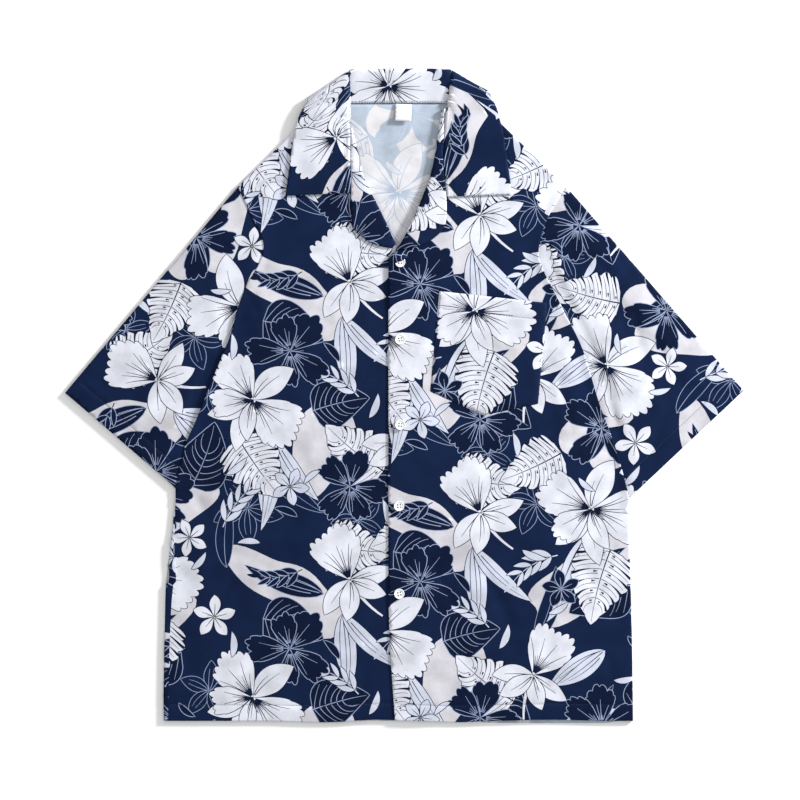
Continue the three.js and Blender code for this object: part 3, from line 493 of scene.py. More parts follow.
def broad_leaf(length, width, curl, ink):
    """A heart-shaped leaf with long curved veins of the other ink."""
    shapes = rimmed(leaf_outline(length, width, curl, 0.55, 26), ink)
    shapes.append((vein(length, curl, np.linspace(0, 0.95, 10), 0, 1.1, 0.4), other(ink)))
    for k in range(6):
        step = np.linspace(0.06, 1, 7)
        out = 0.03 + 0.1 * k + (0.2 + 0.015 * k) * step ** 1.7
        for side in (-1, 1):
            aside = side * (0.9 - 0.12 * (k % 2)) * step * leaf_width(width, out, 0.55)
            shapes.append((vein(length, curl, out, aside, 0.9, 0.4), other(ink)))
    return shapes


def split_leaf(length, width, curl, ink):
    """A lobed leaf whose slits widen towards its edge, with fine veins and small holes between them."""
    shapes = rimmed(leaf_outline(length, width, curl, 0.52, 50, 6), ink)
    shapes.append((vein(length, curl, np.linspace(0, 0.96, 10), 0, 1.5, 0.4), other(ink)))
    reaches = np.linspace(0.04, 1, 7)
    for k in range(6):
        out = 0.02 + 0.125 * k + 0.15 * reaches ** 1.6
        for side in (-1, 1):
            slit = 0.34 + 0.16 * ((k + (side > 0)) % 2)
            # Each mark's start and end across the leaf, shift along it, and width at both ends
            marks = [(0.04, 0.5, 0, 0.8, 0.5), (slit, 1.05, 0, 0.4, width * 0.05),
                     (0.14, 0.92, 0.06, 0.8, 0.4), (0.16, 0.3, 0.03, 0.5, width * 0.036)]
            for start, end, later, first, last in marks:
                reach = np.linspace(start, end, 6)
                at = later + np.interp(reach, reaches, out)
                aside = side * reach * leaf_width(width, at, 0.52)
                shapes.append((vein(length, curl, at, aside, first, last), other(ink)))
    return shapes


def frilled_petal(length, spread, lobes, phase, ink, lines):
    """A fan-shaped petal that opens from the origin along X, with a scalloped edge."""
    u = np.linspace(-1, 1, 5 * lobes + 1)
    scallop = np.abs(np.sin(math.pi * lobes * (u + 1) / 2)) ** 0.8
    uneven = 1 + 0.05 * np.sin(2.3 * u * math.pi + phase)
    radius = length * (1 - np.abs(u) ** 3.4) ** 0.5 * (0.93 + 0.085 * scallop) * uneven
    angle = np.radians(spread) * u
    outline = np.stack([radius * np.cos(angle), radius * np.sin(angle)], 1)[1:]
    shapes = rimmed(outline, ink)
    for k in range(lines):
        at = (2 * (k + 0.5) / lines - 1) * 0.8
        share = np.linspace(0.05 if ink == WHITE else 0.16, 0.5 + 0.24 * math.cos(2.1 * k + phase), 8)
        sway = np.radians(spread) * at * (0.7 + 0.45 * share)
        line = np.stack([length * share * np.cos(sway), length * share * np.sin(sway)], 1)
        shapes.append((stroke(line, 1.3 if ink == WHITE else 0.8, 0.4), other(ink)))
    return shapes


def smooth_petal(length, width, curl, ink):
    """A pointed petal with two lines along its middle."""
    shapes = rimmed(leaf_outline(length, width, curl, 1.0, 17), ink)
    for aside, end in ((0.05, 0.7), (0.4, 0.5)):
        share = np.linspace(0.06, end, 7)
        line = vein(length, curl, share, aside * leaf_width(width, share, 1.0), 1.1, 0.4)
        shapes.append((line, other(ink)))
    return shapes


def big_flower(size, ink, phase=0.0):
    """An open flower: smooth petals behind, two wide frilled ones and a frilled lip."""
    shapes = []
    for angle, reach, wide, curl in ((74, 0.5, 0.25, -0.5), (262, 0.52, 0.2, 0.4), (228, 0.46, 0.2, -0.3)):
        shapes += put(smooth_petal(size * reach, size * wide, curl, ink), 0, 0, angle + 6 * math.sin(phase))
    shapes += put(frilled_petal(size * 0.5, 40, 9, phase, ink, 9), 0, 0, 152)
    shapes += put(frilled_petal(size * 0.54, 46, 11, phase + 1, ink, 10), 0, 0, -14)
    shapes += put(frilled_petal(size * 0.4, 34, 7, phase + 2, ink, 7), 0, 0, 212)
    shapes += put(smooth_petal(size * 0.4, size * 0.16, 0.5, ink), 0, 0, 276)
    stamen = vein(size * 0.16, 0.6, np.linspace(0, 1, 5), 0, 1.8, 0.5)
    for angle in (200, 236, 262, 300):
        shapes += put([(stamen, other(ink))], 0, 0, angle)
    return shapes


def bell_flower(size, ink, phase=0.0):
    """A flower seen from its side: a frilled fan above, smooth petals below and a stalk."""
    stalk = arc(size * 0.5, 0.5, np.linspace(0, 1, 8), 0) @ [[0, -1], [1, 0]]
    shapes = [(stroke(stalk, 4.5, 2.0), ink)]
    for angle, reach in ((196, 0.44), (338, 0.46), (300, 0.4)):
        shapes += put(smooth_petal(size * reach, size * 0.19, 0.35, ink), 0, 0, angle)
    shapes += put(frilled_petal(size * 0.56, 47, 11, phase, ink, 11), 0, 0, 84)
    shapes += put(smooth_petal(size * 0.42, size * 0.2, -0.3, ink), 0, 0, 246)
    return shapes


def round_flower(size, ink, phase=0.0):
    """Five wide frilled petals with fine lines, seen from the front."""
    shapes = []
    for k in range(5):
        angle = 72 * k + 12 * math.sin(2 * k + phase)
        reach = size * (0.48 + 0.05 * math.sin(3 * k + phase))
        shapes += put(frilled_petal(reach, 33 + 5 * math.cos(k), 5 + k % 3, k + phase, ink, 5), 0, 0, angle)
    stamen = vein(size * 0.17, 0.4, np.linspace(0.1, 1, 4), 0, 0.9, 0.4)
    for k in range(6):
        shapes += put([(stamen, other(ink))], 0, 0, 60 * k + 10)
    return shapes


def small_flower(size, ink, phase=0.0):
    """Five rounded petals that lap over each other."""
    petal = rimmed(leaf_outline(size / 2, size * 0.25, 0.25, 1.3, 14), ink)
    petal.append((vein(size / 2, 0.25, np.linspace(0.05, 0.6, 5), 0, 1.0, 0.4), other(ink)))
    return [shape for k in range(5) for shape in put(petal, 0, 0, 72 * k + phase)]


def line_flower(size, ink, phase=0.0):
    """A flower drawn in fine lines only."""
    petal = lined(leaf_outline(size / 2, size * 0.24, 0.3, 0.95, 17), ink)
    for aside in (-0.35, 0.3):
        share = np.linspace(0.05, 0.72, 6)
        beside = aside * leaf_width(size * 0.24, share, 0.95)
        petal.append((vein(size / 2, 0.3, share, beside, 0.6, 0.35), ink))
    return [shape for k in range(5) for shape in put(petal, 0, 0, 72 * k + phase)]


def line_leaf(length, width, curl, ink):
    """A long leaf drawn in fine lines only."""
    shapes = lined(leaf_outline(length, width, curl, 0.8, 16), ink)
    return shapes + [(vein(length, curl, np.linspace(0, 0.95, 10), 0, 0.7, 0.35), ink)]


def sprig(length, curl, pairs, leaf, ink):
    """A stem with pairs of narrow leaves and one at its tip."""
    shapes = [(vein(length, curl, np.linspace(0, 1, 10), 0, 1.2, 0.6), ink)]
    for k in range(pairs):
        share = 0.12 + 0.86 * k / pairs
        root = arc(length, curl, share, 0)
        for side in (-1, 1):
            size = leaf * (1 - 0.35 * share)
            angle = math.degrees(curl * share) + side * 40
            outline = leaf_outline(size, size * 0.26, -side * 0.4, 0.9, 9)
            shapes += put(rimmed(outline, ink), *root, angle)
    tip = arc(length, curl, 1.0, 0)
    outline = leaf_outline(leaf * 0.7, leaf * 0.2, 0, 0.9, 9)
    return shapes + put([(outline, ink)], *tip, math.degrees(curl))


def fan(lengths, width, first, step, curl, ink):
    """Slender leaves that spread from one point."""
    shapes = []
    for k, length in enumerate(lengths):
        bow = curl * (1 - 2 * (k % 2))
        shapes += put(slender_leaf(length, width, bow, ink), 0, 0, first + step * k)
    return shapes


def patch(width, height, phase, ink):
    """A patch of ground with a long, uneven outline."""
    turn = np.linspace(0, 2 * math.pi, 48, endpoint=False)
    radius = 1 + 0.2 * np.sin(2 * turn + phase) + 0.13 * np.sin(3 * turn + 2 * phase)
    radius += 0.07 * np.sin(5 * turn + 3 * phase)
    return [(np.stack([width / 2 * radius * np.cos(turn), height / 2 * radius * np.sin(turn)], 1), ink)]


def design():
    """The motifs of one repeat, the lowest first, each with its X, Y and turn."""
    rows = [
        (patch(136, 66, 0.4, GROUND), 84, 34, 32),
        (patch(136, 62, 2.1, GROUND), 262, 96, -30),
        (patch(128, 60, 3.7, GROUND), 120, 196, 24),
        (patch(112, 58, 5.0, GROUND), 300, 258, 64),
        (line_flower(76, PALE, 20), 32, 118, 0),
        (line_flower(84, PALE, 50), 214, 190, 0),
        (line_flower(70, PALE, 5), 170, 320, 0),
        (line_flower(64, PALE, 35), 340, 176, 0),
        (line_leaf(90, 22, 0.5, PALE), 30, 300, 60),
        (line_leaf(80, 20, -0.5, PALE), 190, 122, 100),
        (line_leaf(84, 20, 0.4, PALE), 236, 236, -50),
        (fan([96, 112, 92], 19, 236, 21, 0.45, LILAC), 92, 84, 0),
        (fan([88, 104, 92], 18, -96, 20, 0.45, LILAC), 322, 70, 0),
        (fan([84, 96], 18, 30, 24, 0.5, DEEP), 60, 8, 0),
        (fan([82, 96], 17, 150, 24, 0.5, DEEP), 300, 92, 0),
        (fan([90, 104, 84], 18, 250, 22, 0.4, LILAC), 246, 266, 0),
        (fan([80, 70], 17, 200, 30, 0.5, LILAC), 110, 290, 0),
        (fan([74, 88], 16, 60, 26, 0.5, DEEP), 92, 168, 0),
        (broad_leaf(76, 62, 0.3, DEEP), 138, 26, 196),
        (broad_leaf(72, 58, -0.3, DEEP), 232, 64, -10),
        (broad_leaf(78, 60, 0.35, DEEP), 150, 214, 60),
        (broad_leaf(70, 56, 0.2, DEEP), 334, 250, -46),
        (broad_leaf(66, 54, -0.25, DEEP), 288, 300, 20),
        (split_leaf(88, 70, 0.25, WHITE), 116, 66, -112),
        (split_leaf(84, 66, -0.3, WHITE), 6, 232, 150),
        (split_leaf(82, 66, 0.2, WHITE), 204, 268, -60),
        (split_leaf(80, 62, 0.3, WHITE), 300, 150, -16),
        (split_leaf(76, 60, -0.2, WHITE), 60, 176, 210),
        (sprig(58, 0.7, 4, 26, LILAC), 56, 60, 190),
        (sprig(60, -0.6, 4, 26, LILAC), 186, 168, 70),
        (sprig(54, 0.6, 4, 24, LILAC), 340, 316, 130),
        (sprig(50, -0.7, 4, 22, DEEP), 276, 120, -150),
        (round_flower(96, DEEP, 0.3), 106, 204, 12),
        (round_flower(92, DEEP, 1.9), 262, 30, 40),
        (round_flower(86, DEEP, 3.1), 330, 214, 75),
        (big_flower(124, WHITE, 0.2), 94, 112, 4),
        (big_flower(118, WHITE, 1.7), 220, 312, -28),
        (bell_flower(112, WHITE, 2.9), 330, 108, 28),
        (bell_flower(106, WHITE, 4.1), 28, 262, -26),
        (small_flower(50, WHITE, 10), 176, 66, 0),
        (small_flower(44, WHITE, 35), 148, 156, 0),
        (small_flower(44, DEEP, 20), 60, 22, 0),
        (small_flower(44, LILAC, 60), 262, 214, 0),
    ]
    small = [
        (16, 66, 30, -40), (150, 120, 26, 30), (196, 20, 30, 70), (270, 180, 28, 140), (10, 172, 28, 80),
        (120, 256, 26, -10), (190, 228, 30, 20), (318, 18, 28, 110), (352, 292, 30, 50), (228, 150, 26, 160),
        (46, 332, 26, 10), (136, 306, 24, -60), (296, 232, 24, 200), (80, 148, 24, 300),
    ]
    for k, (x, y, length, angle) in enumerate(small):
        ink = DEEP if k % 4 == 3 else LILAC
        rows.append((rimmed(leaf_outline(length, length * 0.26, 0.7, 0.9, 10), ink), x, y, angle))
    return [put(*row) for row in rows]


def inside(points, outline):
    """Which points lie inside a closed outline."""
    x, y = points[:, :1], points[:, 1:]
    x1, y1 = outline.T
    x2, y2 = np.roll(outline, -1, 0).T
    rising = (y1 <= y) & (y2 > y)
    falling = (y1 > y) & (y2 <= y)
    rise = np.where(y1 == y2, 1, y2 - y1)
    left = x < x1 + (y - y1) * (x2 - x1) / rise
    return ((rising & left).sum(1) != (falling & left).sum(1))


def repeats_over(low, high, offset, turn):
    """The first and the last repeat, in X and Y, that reach a box."""
    corners = np.array([low, (high[0], low[1]), high, (low[0], high[1])]) @ turning(turn).T
    corners = (corners - offset) / (TILE_WIDTH, TILE_HEIGHT)
    return np.floor(corners.min(0)).astype(int), np.ceil(corners.max(0)).astype(int)


def sides_of(faces):
    """The three sides of each face, as pairs of points."""
    return faces[:, [0, 1, 1, 2, 2, 0]].reshape(-1, 2)


def laid_out(shapes, low, high, offset, turn=0.0):
    """The shapes of every repeat that reaches a box, as (outline, ink), the lowest first."""
    spin = turning(turn)
    repeat = np.array([TILE_WIDTH, TILE_HEIGHT])
    first, last = repeats_over(low, high, offset, turn)
    placed = []
    for motif in shapes:
        for i in range(first[0] - 1, last[0] + 1):
            for j in range(first[1] - 1, last[1] + 1):
                for points, ink in motif:
                    at = (points + offset + repeat * (i, j)) @ spin
                    if (at.max(0) > low).all() and (at.min(0) < high).all():
                        placed.append((at, ink))
    return placed


def inks_at(centres, placed):
    """The ink of each point, from the topmost shape over it."""
    inks = np.zeros(len(centres))
    order = np.argsort(centres[:, 0])
    across = centres[order, 0]
    for outline, ink in placed:
        low, high = outline.min(0), outline.max(0)
        near = order[np.searchsorted(across, low[0]):np.searchsorted(across, high[0])]
        y = centres[near, 1]
        near = near[(y > low[1]) & (y < high[1])]
        if len(near):
            inks[near[inside(centres[near], outline)]] = ink
    return inks


def print_edges(shapes):
    """The lines between the two inks over one repeat, as points and pairs of points."""
    size = np.array([TILE_WIDTH, TILE_HEIGHT])
    placed = laid_out(shapes, np.zeros(2), size, np.zeros(2))
    frame_line = np.array([(0, 0), (size[0], 0), size, (0, size[1])])
    flat, faces = constrained([frame_line] + [outline for outline, _ in placed], np.zeros((0, 2)))
    centres = flat[faces].mean(1)
    held = ((centres > 0) & (centres < size)).all(1)
    faces, centres = faces[held], centres[held]
    keys, where = np.unique(np.sort(sides_of(faces), axis=1), axis=0, return_inverse=True)
    owner = np.repeat(inks_at(centres, placed), 3)
    most, least = np.zeros(len(keys)), np.ones(len(keys))
    np.maximum.at(most, where.ravel(), owner)
    np.minimum.at(least, where.ravel(), owner)
    edges = keys[most != least]
    for _ in range(4):
        edges = straightened(flat, edges)
    used, edges = np.unique(edges, return_inverse=True)
    return flat[used], edges.reshape(-1, 2)


def straightened(flat, edges, slack=0.07):
    """Takes out points that lie straight between their two neighbours, every other one at most."""
    beside = {}
    for a, b in edges.tolist():
        beside.setdefault(a, []).append(b)
        beside.setdefault(b, []).append(a)
    gone, added, kept_back = set(), [], set()
    for at, near in beside.items():
        if len(near) != 2 or near[0] == near[1] or at in kept_back:
            continue
        a, b = flat[near[0]], flat[near[1]]
        long = np.linalg.norm(b - a)
        off = abs((b - a)[0] * (flat[at] - a)[1] - (b - a)[1] * (flat[at] - a)[0]) / (long + 1e-9)
        if off < slack and long < 12:
            gone.add(at)
            added.append(near)
            kept_back.update(near)
    left = [edge for edge in edges.tolist() if edge[0] not in gone and edge[1] not in gone]
    return np.array(left + added)


def constrained(loops, net, lines=(), pairs=None):
    """A flat net of triangles with edges along closed loops, open lines and pairs of points."""
    points, edges, total = [net], [], len(net)
    for line, closed in [(loop, True) for loop in loops] + [(line, False) for line in lines]:
        ends = np.arange(total, total + len(line))
        edges.append(np.column_stack([ends[:-1], ends[1:]]))
        if closed:
            edges.append(ends[[-1, 0]][None])
        points.append(line)
        total += len(line)
    for flat, ends in pairs or []:
        points.append(flat)
        edges.append(ends + total)
        total += len(flat)
    made = delaunay_2d_cdt([Vector(p) for p in np.vstack(points).tolist()],
                           np.vstack(edges).tolist(), [], 0, 1e-3)
    return np.array([tuple(p) for p in made[0]]), np.array(made[2])


def repeated(low, high, offset, turn):
    """The lines between inks over a box, from as many repeats as reach it."""
    spin = turning(turn)
    size = np.array([TILE_WIDTH, TILE_HEIGHT])
    first, last = repeats_over(low, high, offset, turn)
    pairs = []
    for i in range(first[0], last[0]):
        for j in range(first[1], last[1]):
            flat = (PRINT_POINTS + offset + size * (i, j)) @ spin
            near = ((flat > low - 2) & (flat < high + 2)).all(1)
            ends = PRINT_EDGES[near[PRINT_EDGES].any(1)]
            if len(ends):
                used, ends = np.unique(ends, return_inverse=True)
                pairs.append((flat[used], ends.reshape(-1, 2)))
    return pairs


def triangles_of(outline, lines, pairs, grid):
    """Triangles over a flat outline, with edges along every line and along the print."""
    low, high = outline.min(0), outline.max(0)
    net = np.stack(np.meshgrid(np.arange(low[0], high[0], grid), np.arange(low[1], high[1], grid)), -1)
    net[1::2, :, 0] += grid / 2
    net = net.reshape(-1, 2)
    net = net[inside(net, outline)]
    for line in [np.vstack([outline, outline[:1]])] + lines:
        net = net[distance(net, line, grid * 2) > grid * 0.4]
    flat, faces = constrained([outline], net, lines, pairs)
    faces = faces[inside(flat[faces].mean(1), outline)]
    used, faces = np.unique(faces, return_inverse=True)
    return flat[used], faces.reshape(-1, 3)


def normals_of(place, flat):
    """Unit normals of a placed sheet, on the side that faces up where it lies flat."""
    step = 0.15
    along = place(flat + (step, 0)) - place(flat - (step, 0))
    across = place(flat + (0, step)) - place(flat - (0, step))
    return unit(np.cross(along, across))


def add_object(name, data, material=None):
    """A new object of the scene."""
    made = bpy.data.objects.new(name, data)
    bpy.context.collection.objects.link(made)
    if material:
        data.materials.append(material)
    return made


def sheet(name, outline, place, material, offset=(0, 0), turn=0.0, lines=(), regions=(), outer=1,
          thick=CLOTH, grid=GRID, plain=False):
    """A sheet of printed cloth as a closed wall. outer is 1 where its right side is the upper one,
    -1 where it is the lower one and 0 where both are right sides. Regions have a print of their own."""
    low, high = outline.min(0), outline.max(0)
    offset = np.array(offset, float)
    pairs = [] if plain else repeated(low, high, offset, turn)
    for area, shift in regions:
        pairs += repeated(area.min(0), area.max(0), np.array(shift, float), turn)
    flat, faces = triangles_of(outline, list(lines), pairs, grid)
    centres = flat[faces].mean(1)
    inks = inks_at(centres, [] if plain else laid_out(DESIGN, low, high, offset, turn))
    for area, shift in regions:
        there = np.flatnonzero(inside(centres, area))
        shapes = laid_out(DESIGN, area.min(0), area.max(0), np.array(shift, float), turn)
        inks[there] = inks_at(centres[there], shapes)
    middle = place(flat)
    half_wall = normals_of(place, flat) * thick / 2
    count = len(flat)
    points = np.vstack([middle + half_wall, middle - half_wall]) / 1000
    sides = sides_of(faces)
    _, first, seen = np.unique(np.sort(sides, axis=1), axis=0, return_index=True, return_counts=True)
    rim = sides[first[seen == 1]]
    rim_inks = inks[first[seen == 1] // 3]
    walls = np.vstack([
        np.column_stack([rim[:, 1], rim[:, 0], rim[:, 0] + count]),
        np.column_stack([rim[:, 1], rim[:, 0] + count, rim[:, 1] + count]),
    ])
    corners = np.vstack([faces, faces[:, ::-1] + count, walls])
    mesh = bpy.data.meshes.new(name)
    mesh.from_pydata(points.tolist(), [], corners.tolist())
    shade = np.concatenate([inks, inks, rim_inks, rim_inks])
    reverse = np.zeros(len(corners))
    if outer:
        start = len(faces) if outer > 0 else 0
        reverse[start:start + len(faces)] = 1
    for label, values in (("ink", shade), ("reverse", reverse)):
        mesh.attributes.new(label, "FLOAT", "FACE").data.foreach_set("value", values.astype(np.float32))
    mesh.polygons.foreach_set("use_smooth", np.ones(len(corners), bool))
    unwrap(mesh, flat, corners, rim)
    return add_object(name + "_cloth", mesh, material)


def unwrap(mesh, flat, corners, rim):
    """Lays both sides of a wall out side by side from its flat form, with the rim round the first."""
    count = len(flat)
    ahead = unit(flat[rim[:, 1]] - flat[rim[:, 0]])
    outwards = np.tile(np.stack([ahead[:, 1], -ahead[:, 0]], 1), (2, 1))[:, None]
    at = flat[corners % count] - flat.min(0) + MAP_MARGIN
    lower = corners >= count
    walls = len(outwards)
    at[-walls:] += lower[-walls:, :, None] * outwards * MAP_RIM
    at /= np.ptp(flat, axis=0).max() + 2 * MAP_MARGIN
    at[..., 0] /= 2
    at[:-walls, :, 0] += lower[:-walls] * 0.5
    layer = mesh.uv_layers.new(name="OFBake")
    layer.data.foreach_set("uv", at.reshape(-1).astype(np.float32))


def offset_line(line, by):
    """A line beside another one, to its left where by is positive."""
    return line + leftwards(line) * by


def inset_line(line, by):
    """The pocket's sewn edge moved towards its middle."""
    even = even_points(line, np.linspace(0, 1, 200))
    moved = [offset_line(even, by), offset_line(even, -by)]
    return min(moved, key=lambda side: np.linalg.norm(side - line.mean(0), axis=1).mean())


def hem_shift(x, y):
    """How far the front hem's edge moves up or down in long waves."""
    near = 1 - ease(HEM_Y, HEM_Y + 60, y)
    return -near * sum(depth * (1 - ease(0, width, np.abs(x - at))) for at, width, depth in HEM_WAVES)


def groove(points, line, width=GROOVE_WIDTH, depth=GROOVE_DEPTH):
    """A soft groove along a line of stitches."""
    return depth * (1 - ease(0, width, distance(points, line)))


def front(name, side, armhole, edge, roll, neck, inwards, height, offset, material, seam=None):
    """A front panel, from its side and armhole to the closure and the roll line."""
    side_line = straight_line(side)
    arm_line = smooth_line(armhole) + (inwards * ARMHOLE_GAP, 0)
    share = np.linspace(0, 1, 14)[:, None]
    neck_line = mix(np.array(neck, float), np.array(roll[-1], float), share)
    neck_line[:, 1] -= NECK_DIP * np.sin(math.pi * share[:, 0])
    shoulder = straight_line([armhole[-1], neck])
    roll_line = smooth_line(roll[::-1])
    edge_line = straight_line(edge[::-1])
    if np.allclose(edge[-1], roll[0]):
        edge_line = edge_line[1:]
    hem = straight_line([edge[0], side[0]])
    outline = np.vstack([side_line, arm_line[1:], shoulder[1:], neck_line[1:], roll_line[1:],
                         edge_line, hem[1:-1]])
    stitches = hem + (0, HEM_DEPTH)
    folded = [side_line[:-6], shoulder]
    rails = [offset_line(line, inwards * -by) for line in folded for by in ROUND_STEPS]
    rails += [offset_line(arm_line, inwards * -by)[1:-1] for by in (0.3, 0.8, 2.0)]
    rails += [hem[1:-1] + (0, by) for by in (0.3, 0.9)] + [stitches[1:-1] + (0, by) for by in GROOVE_RAILS]
    turned = []
    if seam:
        seam_line = smooth_line(seam)
        turned = [(np.vstack([seam_line, side_line[::-1] - (2, 0)]), SEAM_PRINT)]
        rails.append(seam_line[1:-1])

    def place(flat):
        x, y = flat[:, 0], flat[:, 1]
        z = height(x, y)
        for line in folded:
            z = z - rounded_drop(distance(flat, line), EDGE_FOLD)
        arm = distance(flat, arm_line)
        z = z - rounded_drop(arm, SEAM_ROUND) + ARMHOLE_RIDGE * (1 - ease(1, 7, arm))
        z = z - groove(flat, stitches) - rounded_drop(y - HEM_Y, SEAM_ROUND) * 0.6
        if seam:
            z = z - groove(flat, seam_line, SEAM_GROOVE_WIDTH)
            z = z + groove(flat, ROLLED_TAB, TAB_WIDTH, TAB_HEIGHT)
            foot = ease(-216, -212, y) * (1 - ease(-212, -178, y))
            x = x + TAB_STEP * foot * (1 - ease(-266, -240, x))
        return np.stack([x, y + hem_shift(x, y), z], 1)

    return sheet(name, outline, place, material, offset=offset, lines=rails, regions=turned), place, stitches


def back(material):
    """The back panel, which lies on the ground and peeks out below the front's hem."""
    left, right = straight_line(SIDE_LEFT), straight_line(SIDE_RIGHT)
    arm_left = smooth_line(ARMHOLE_LEFT) + (ARMHOLE_GAP, 0)
    arm_right = smooth_line(ARMHOLE_RIGHT) - (ARMHOLE_GAP, 0)
    neck_left, neck_right = (NECK_LEFT[0], NECK_Y), (NECK_RIGHT[0], NECK_Y)
    shoulder_left = straight_line([ARMHOLE_LEFT[-1], neck_left])
    shoulder_right = straight_line([neck_right, ARMHOLE_RIGHT[-1]])
    neck = straight_line([neck_left, neck_right])
    hem = straight_line([SIDE_RIGHT[0], SIDE_LEFT[0]])
    outline = np.vstack([left, arm_left[1:], shoulder_left[1:], neck[1:], shoulder_right[1:],
                         arm_right[::-1][1:], right[::-1][1:], hem[1:-1]])
    folded = [left[:-6], shoulder_left, shoulder_right, right[:-6]]
    sides = (-1, -1, -1, 1)
    rails = [offset_line(line, side * by) for line, side in zip(folded, sides) for by in ROUND_STEPS]

    def place(flat):
        x, y = flat[:, 0], flat[:, 1]
        z = back_height(x, y) - (SOLID_CLOTH - CLOTH) / 2 + fold_heights(x, y, GROUND_FOLDS)
        for line in folded:
            z = z + rounded_drop(distance(flat, line), EDGE_FOLD)
        right_half = ease(70, 100, x) * (1 - ease(225, 250, x))
        peek = BACK_PEEK * right_half * (1 - ease(HEM_Y, HEM_Y + 40, y))
        return np.stack([x, y - peek, z], 1)

    made = sheet("back", outline, place, material, offset=BACK_PRINT, lines=rails, outer=-1, grid=6.0)
    return made, place, hem[::-1] + (0, HEM_DEPTH)


def sleeve(name, armhole, hem, inwards, offset, turn, material, dip_end):
    """One sheet folded along its top edge, upper half first. Its flat form is laid out in the plane
    of the upper half, with the lower half turned up beyond the fold."""
    arm_line = smooth_line(armhole) - (inwards * ARMHOLE_GAP, 0)
    hem_line = straight_line(hem)
    top, end = arm_line[-1], np.array(hem[-1], float)
    across = towards(end - top, arm_line[0] - top)
    quarter = EDGE_FOLD * math.pi / 2

    def unrolled(points, half):
        away = (points - top) @ across
        rolled = EDGE_FOLD * np.arccos(np.clip(1 - away / EDGE_FOLD, -1, 1))
        opened = np.where(away > EDGE_FOLD, away - EDGE_FOLD + quarter, rolled)
        return points + across * (half * opened - away)[:, None]

    tucked = SLEEVE_TUCK * ease(6, 30, np.linalg.norm(arm_line - top, axis=1))
    tucked *= ease(6, 30, np.linalg.norm(arm_line - arm_line[0], axis=1))
    upper_arm = unrolled(arm_line + np.stack([inwards * tucked, 0 * tucked], 1), 1)
    lower_arm = unrolled(arm_line, -1)
    upper_hem, lower_hem = unrolled(hem_line, 1), unrolled(hem_line, -1)
    outline = np.vstack([upper_arm, lower_arm[::-1][1:], lower_hem, upper_hem[::-1][1:]])
    fold = straight_line([top, end])
    rails = [fold + across * by for by in (-quarter, -1.4, -0.7, 0, 0.7, 1.4, quarter)]
    inside_hem = towards(hem_line[-1] - hem_line[0], top - hem_line[0])
    stitches = hem_line + inside_hem * SLEEVE_HEM_DEPTH
    upper_stitches = unrolled(stitches, 1)
    rails += [upper_stitches[2:-3] + inside_hem * by for by in GROOVE_RAILS]
    rails += [offset_line(upper_arm, inwards * by)[1:-2] for by in (0.5, 1.5, 4.0)]

    def place(flat):
        away = (flat - top) @ across
        angle = np.clip(away / EDGE_FOLD, -math.pi / 2, math.pi / 2)
        past = np.maximum(np.abs(away) - quarter, 0)
        level = EDGE_FOLD * (1 - np.cos(angle)) + past
        at = flat + across * (level - away)[:, None]
        x, y = at[:, 0], at[:, 1]
        arm = distance(at, arm_line)
        dip = SLEEVE_DIP * (1 - ease(8, 19, arm)) * ease(-80, -20, y) * (1 - ease(*dip_end, y))
        upper = relief(x, y) * ease(0, 14, level) - GROOVE_DEPTH * (1 - ease(1, 4, arm))
        upper = upper - dip * ease(0, 10, level) - groove(at, stitches)
        lower = fold_heights(x, y, GROUND_FOLDS) * ease(0, 20, level)
        z = back_height(x, y) + EDGE_FOLD * (1 + np.sin(angle)) + np.where(away > 0, upper, lower)
        return np.column_stack([at, z])

    made = sheet(name, outline, place, material, offset=offset, turn=turn, lines=rails, grid=4.5)
    return made, place, upper_stitches


def surface(sections, i, j):
    """Points of a smooth surface that passes through a grid of points."""
    def weights(t):
        return np.stack([-t ** 3 / 2 + t ** 2 - t / 2, 1.5 * t ** 3 - 2.5 * t ** 2 + 1,
                         -1.5 * t ** 3 + 2 * t ** 2 + t / 2, t ** 3 / 2 - t ** 2 / 2], -1)
    rows, columns = sections.shape[:2]
    low_i = np.clip(np.floor(i).astype(int), 0, rows - 2)
    low_j = np.clip(np.floor(j).astype(int), 0, columns - 2)
    wi, wj = weights(i - low_i), weights(j - low_j)
    total = np.zeros((len(i), 3))
    for a in range(4):
        for b in range(4):
            at = sections[np.clip(low_i + a - 1, 0, rows - 1), np.clip(low_j + b - 1, 0, columns - 1)]
            total += at * (wi[:, a] * wj[:, b])[:, None]
    return total


def ribbon(sections):
    """The flat outline of a ribbon through sections of points, the function that places it, and how
    far along its seam each section lies."""
    rows, columns = sections.shape[:2]
    along = np.concatenate([[0], np.cumsum(np.linalg.norm(np.diff(sections, axis=0), axis=2).mean(1))])
    gaps = np.linalg.norm(np.diff(sections, axis=1), axis=2)
    across = np.concatenate([np.zeros((rows, 1)), np.cumsum(gaps, axis=1)], axis=1)
    shares = np.linspace(0, 1, 60)
    table = np.array([np.interp(shares, row / row[-1], np.arange(columns)) for row in across])

    def place(flat):
        i = np.interp(flat[:, 0], along, np.arange(rows))
        low = np.clip(i.astype(int), 0, rows - 2)
        part = i - low
        reach = mix(across[low, -1], across[low + 1, -1], part)
        k = np.clip(flat[:, 1] / reach, 0, 1) * (len(shares) - 1)
        low_k = np.clip(k.astype(int), 0, len(shares) - 2)
        part_k = k - low_k
        j = mix(mix(table[low, low_k], table[low, low_k + 1], part_k),
                mix(table[low + 1, low_k], table[low + 1, low_k + 1], part_k), part)
        return surface(sections, i, j)

    start = straight_line([(0, across[0, -1]), (0, 0)])
    seam = straight_line([(0, 0), (along[-1], 0)])
    end = straight_line([(along[-1], 0), (along[-1], across[-1, -1])])
    edge = straight_line(list(zip(along, across[:, -1]))[::-1])
    return np.vstack([start, seam[1:], end[1:], edge[1:-1]]), place, along


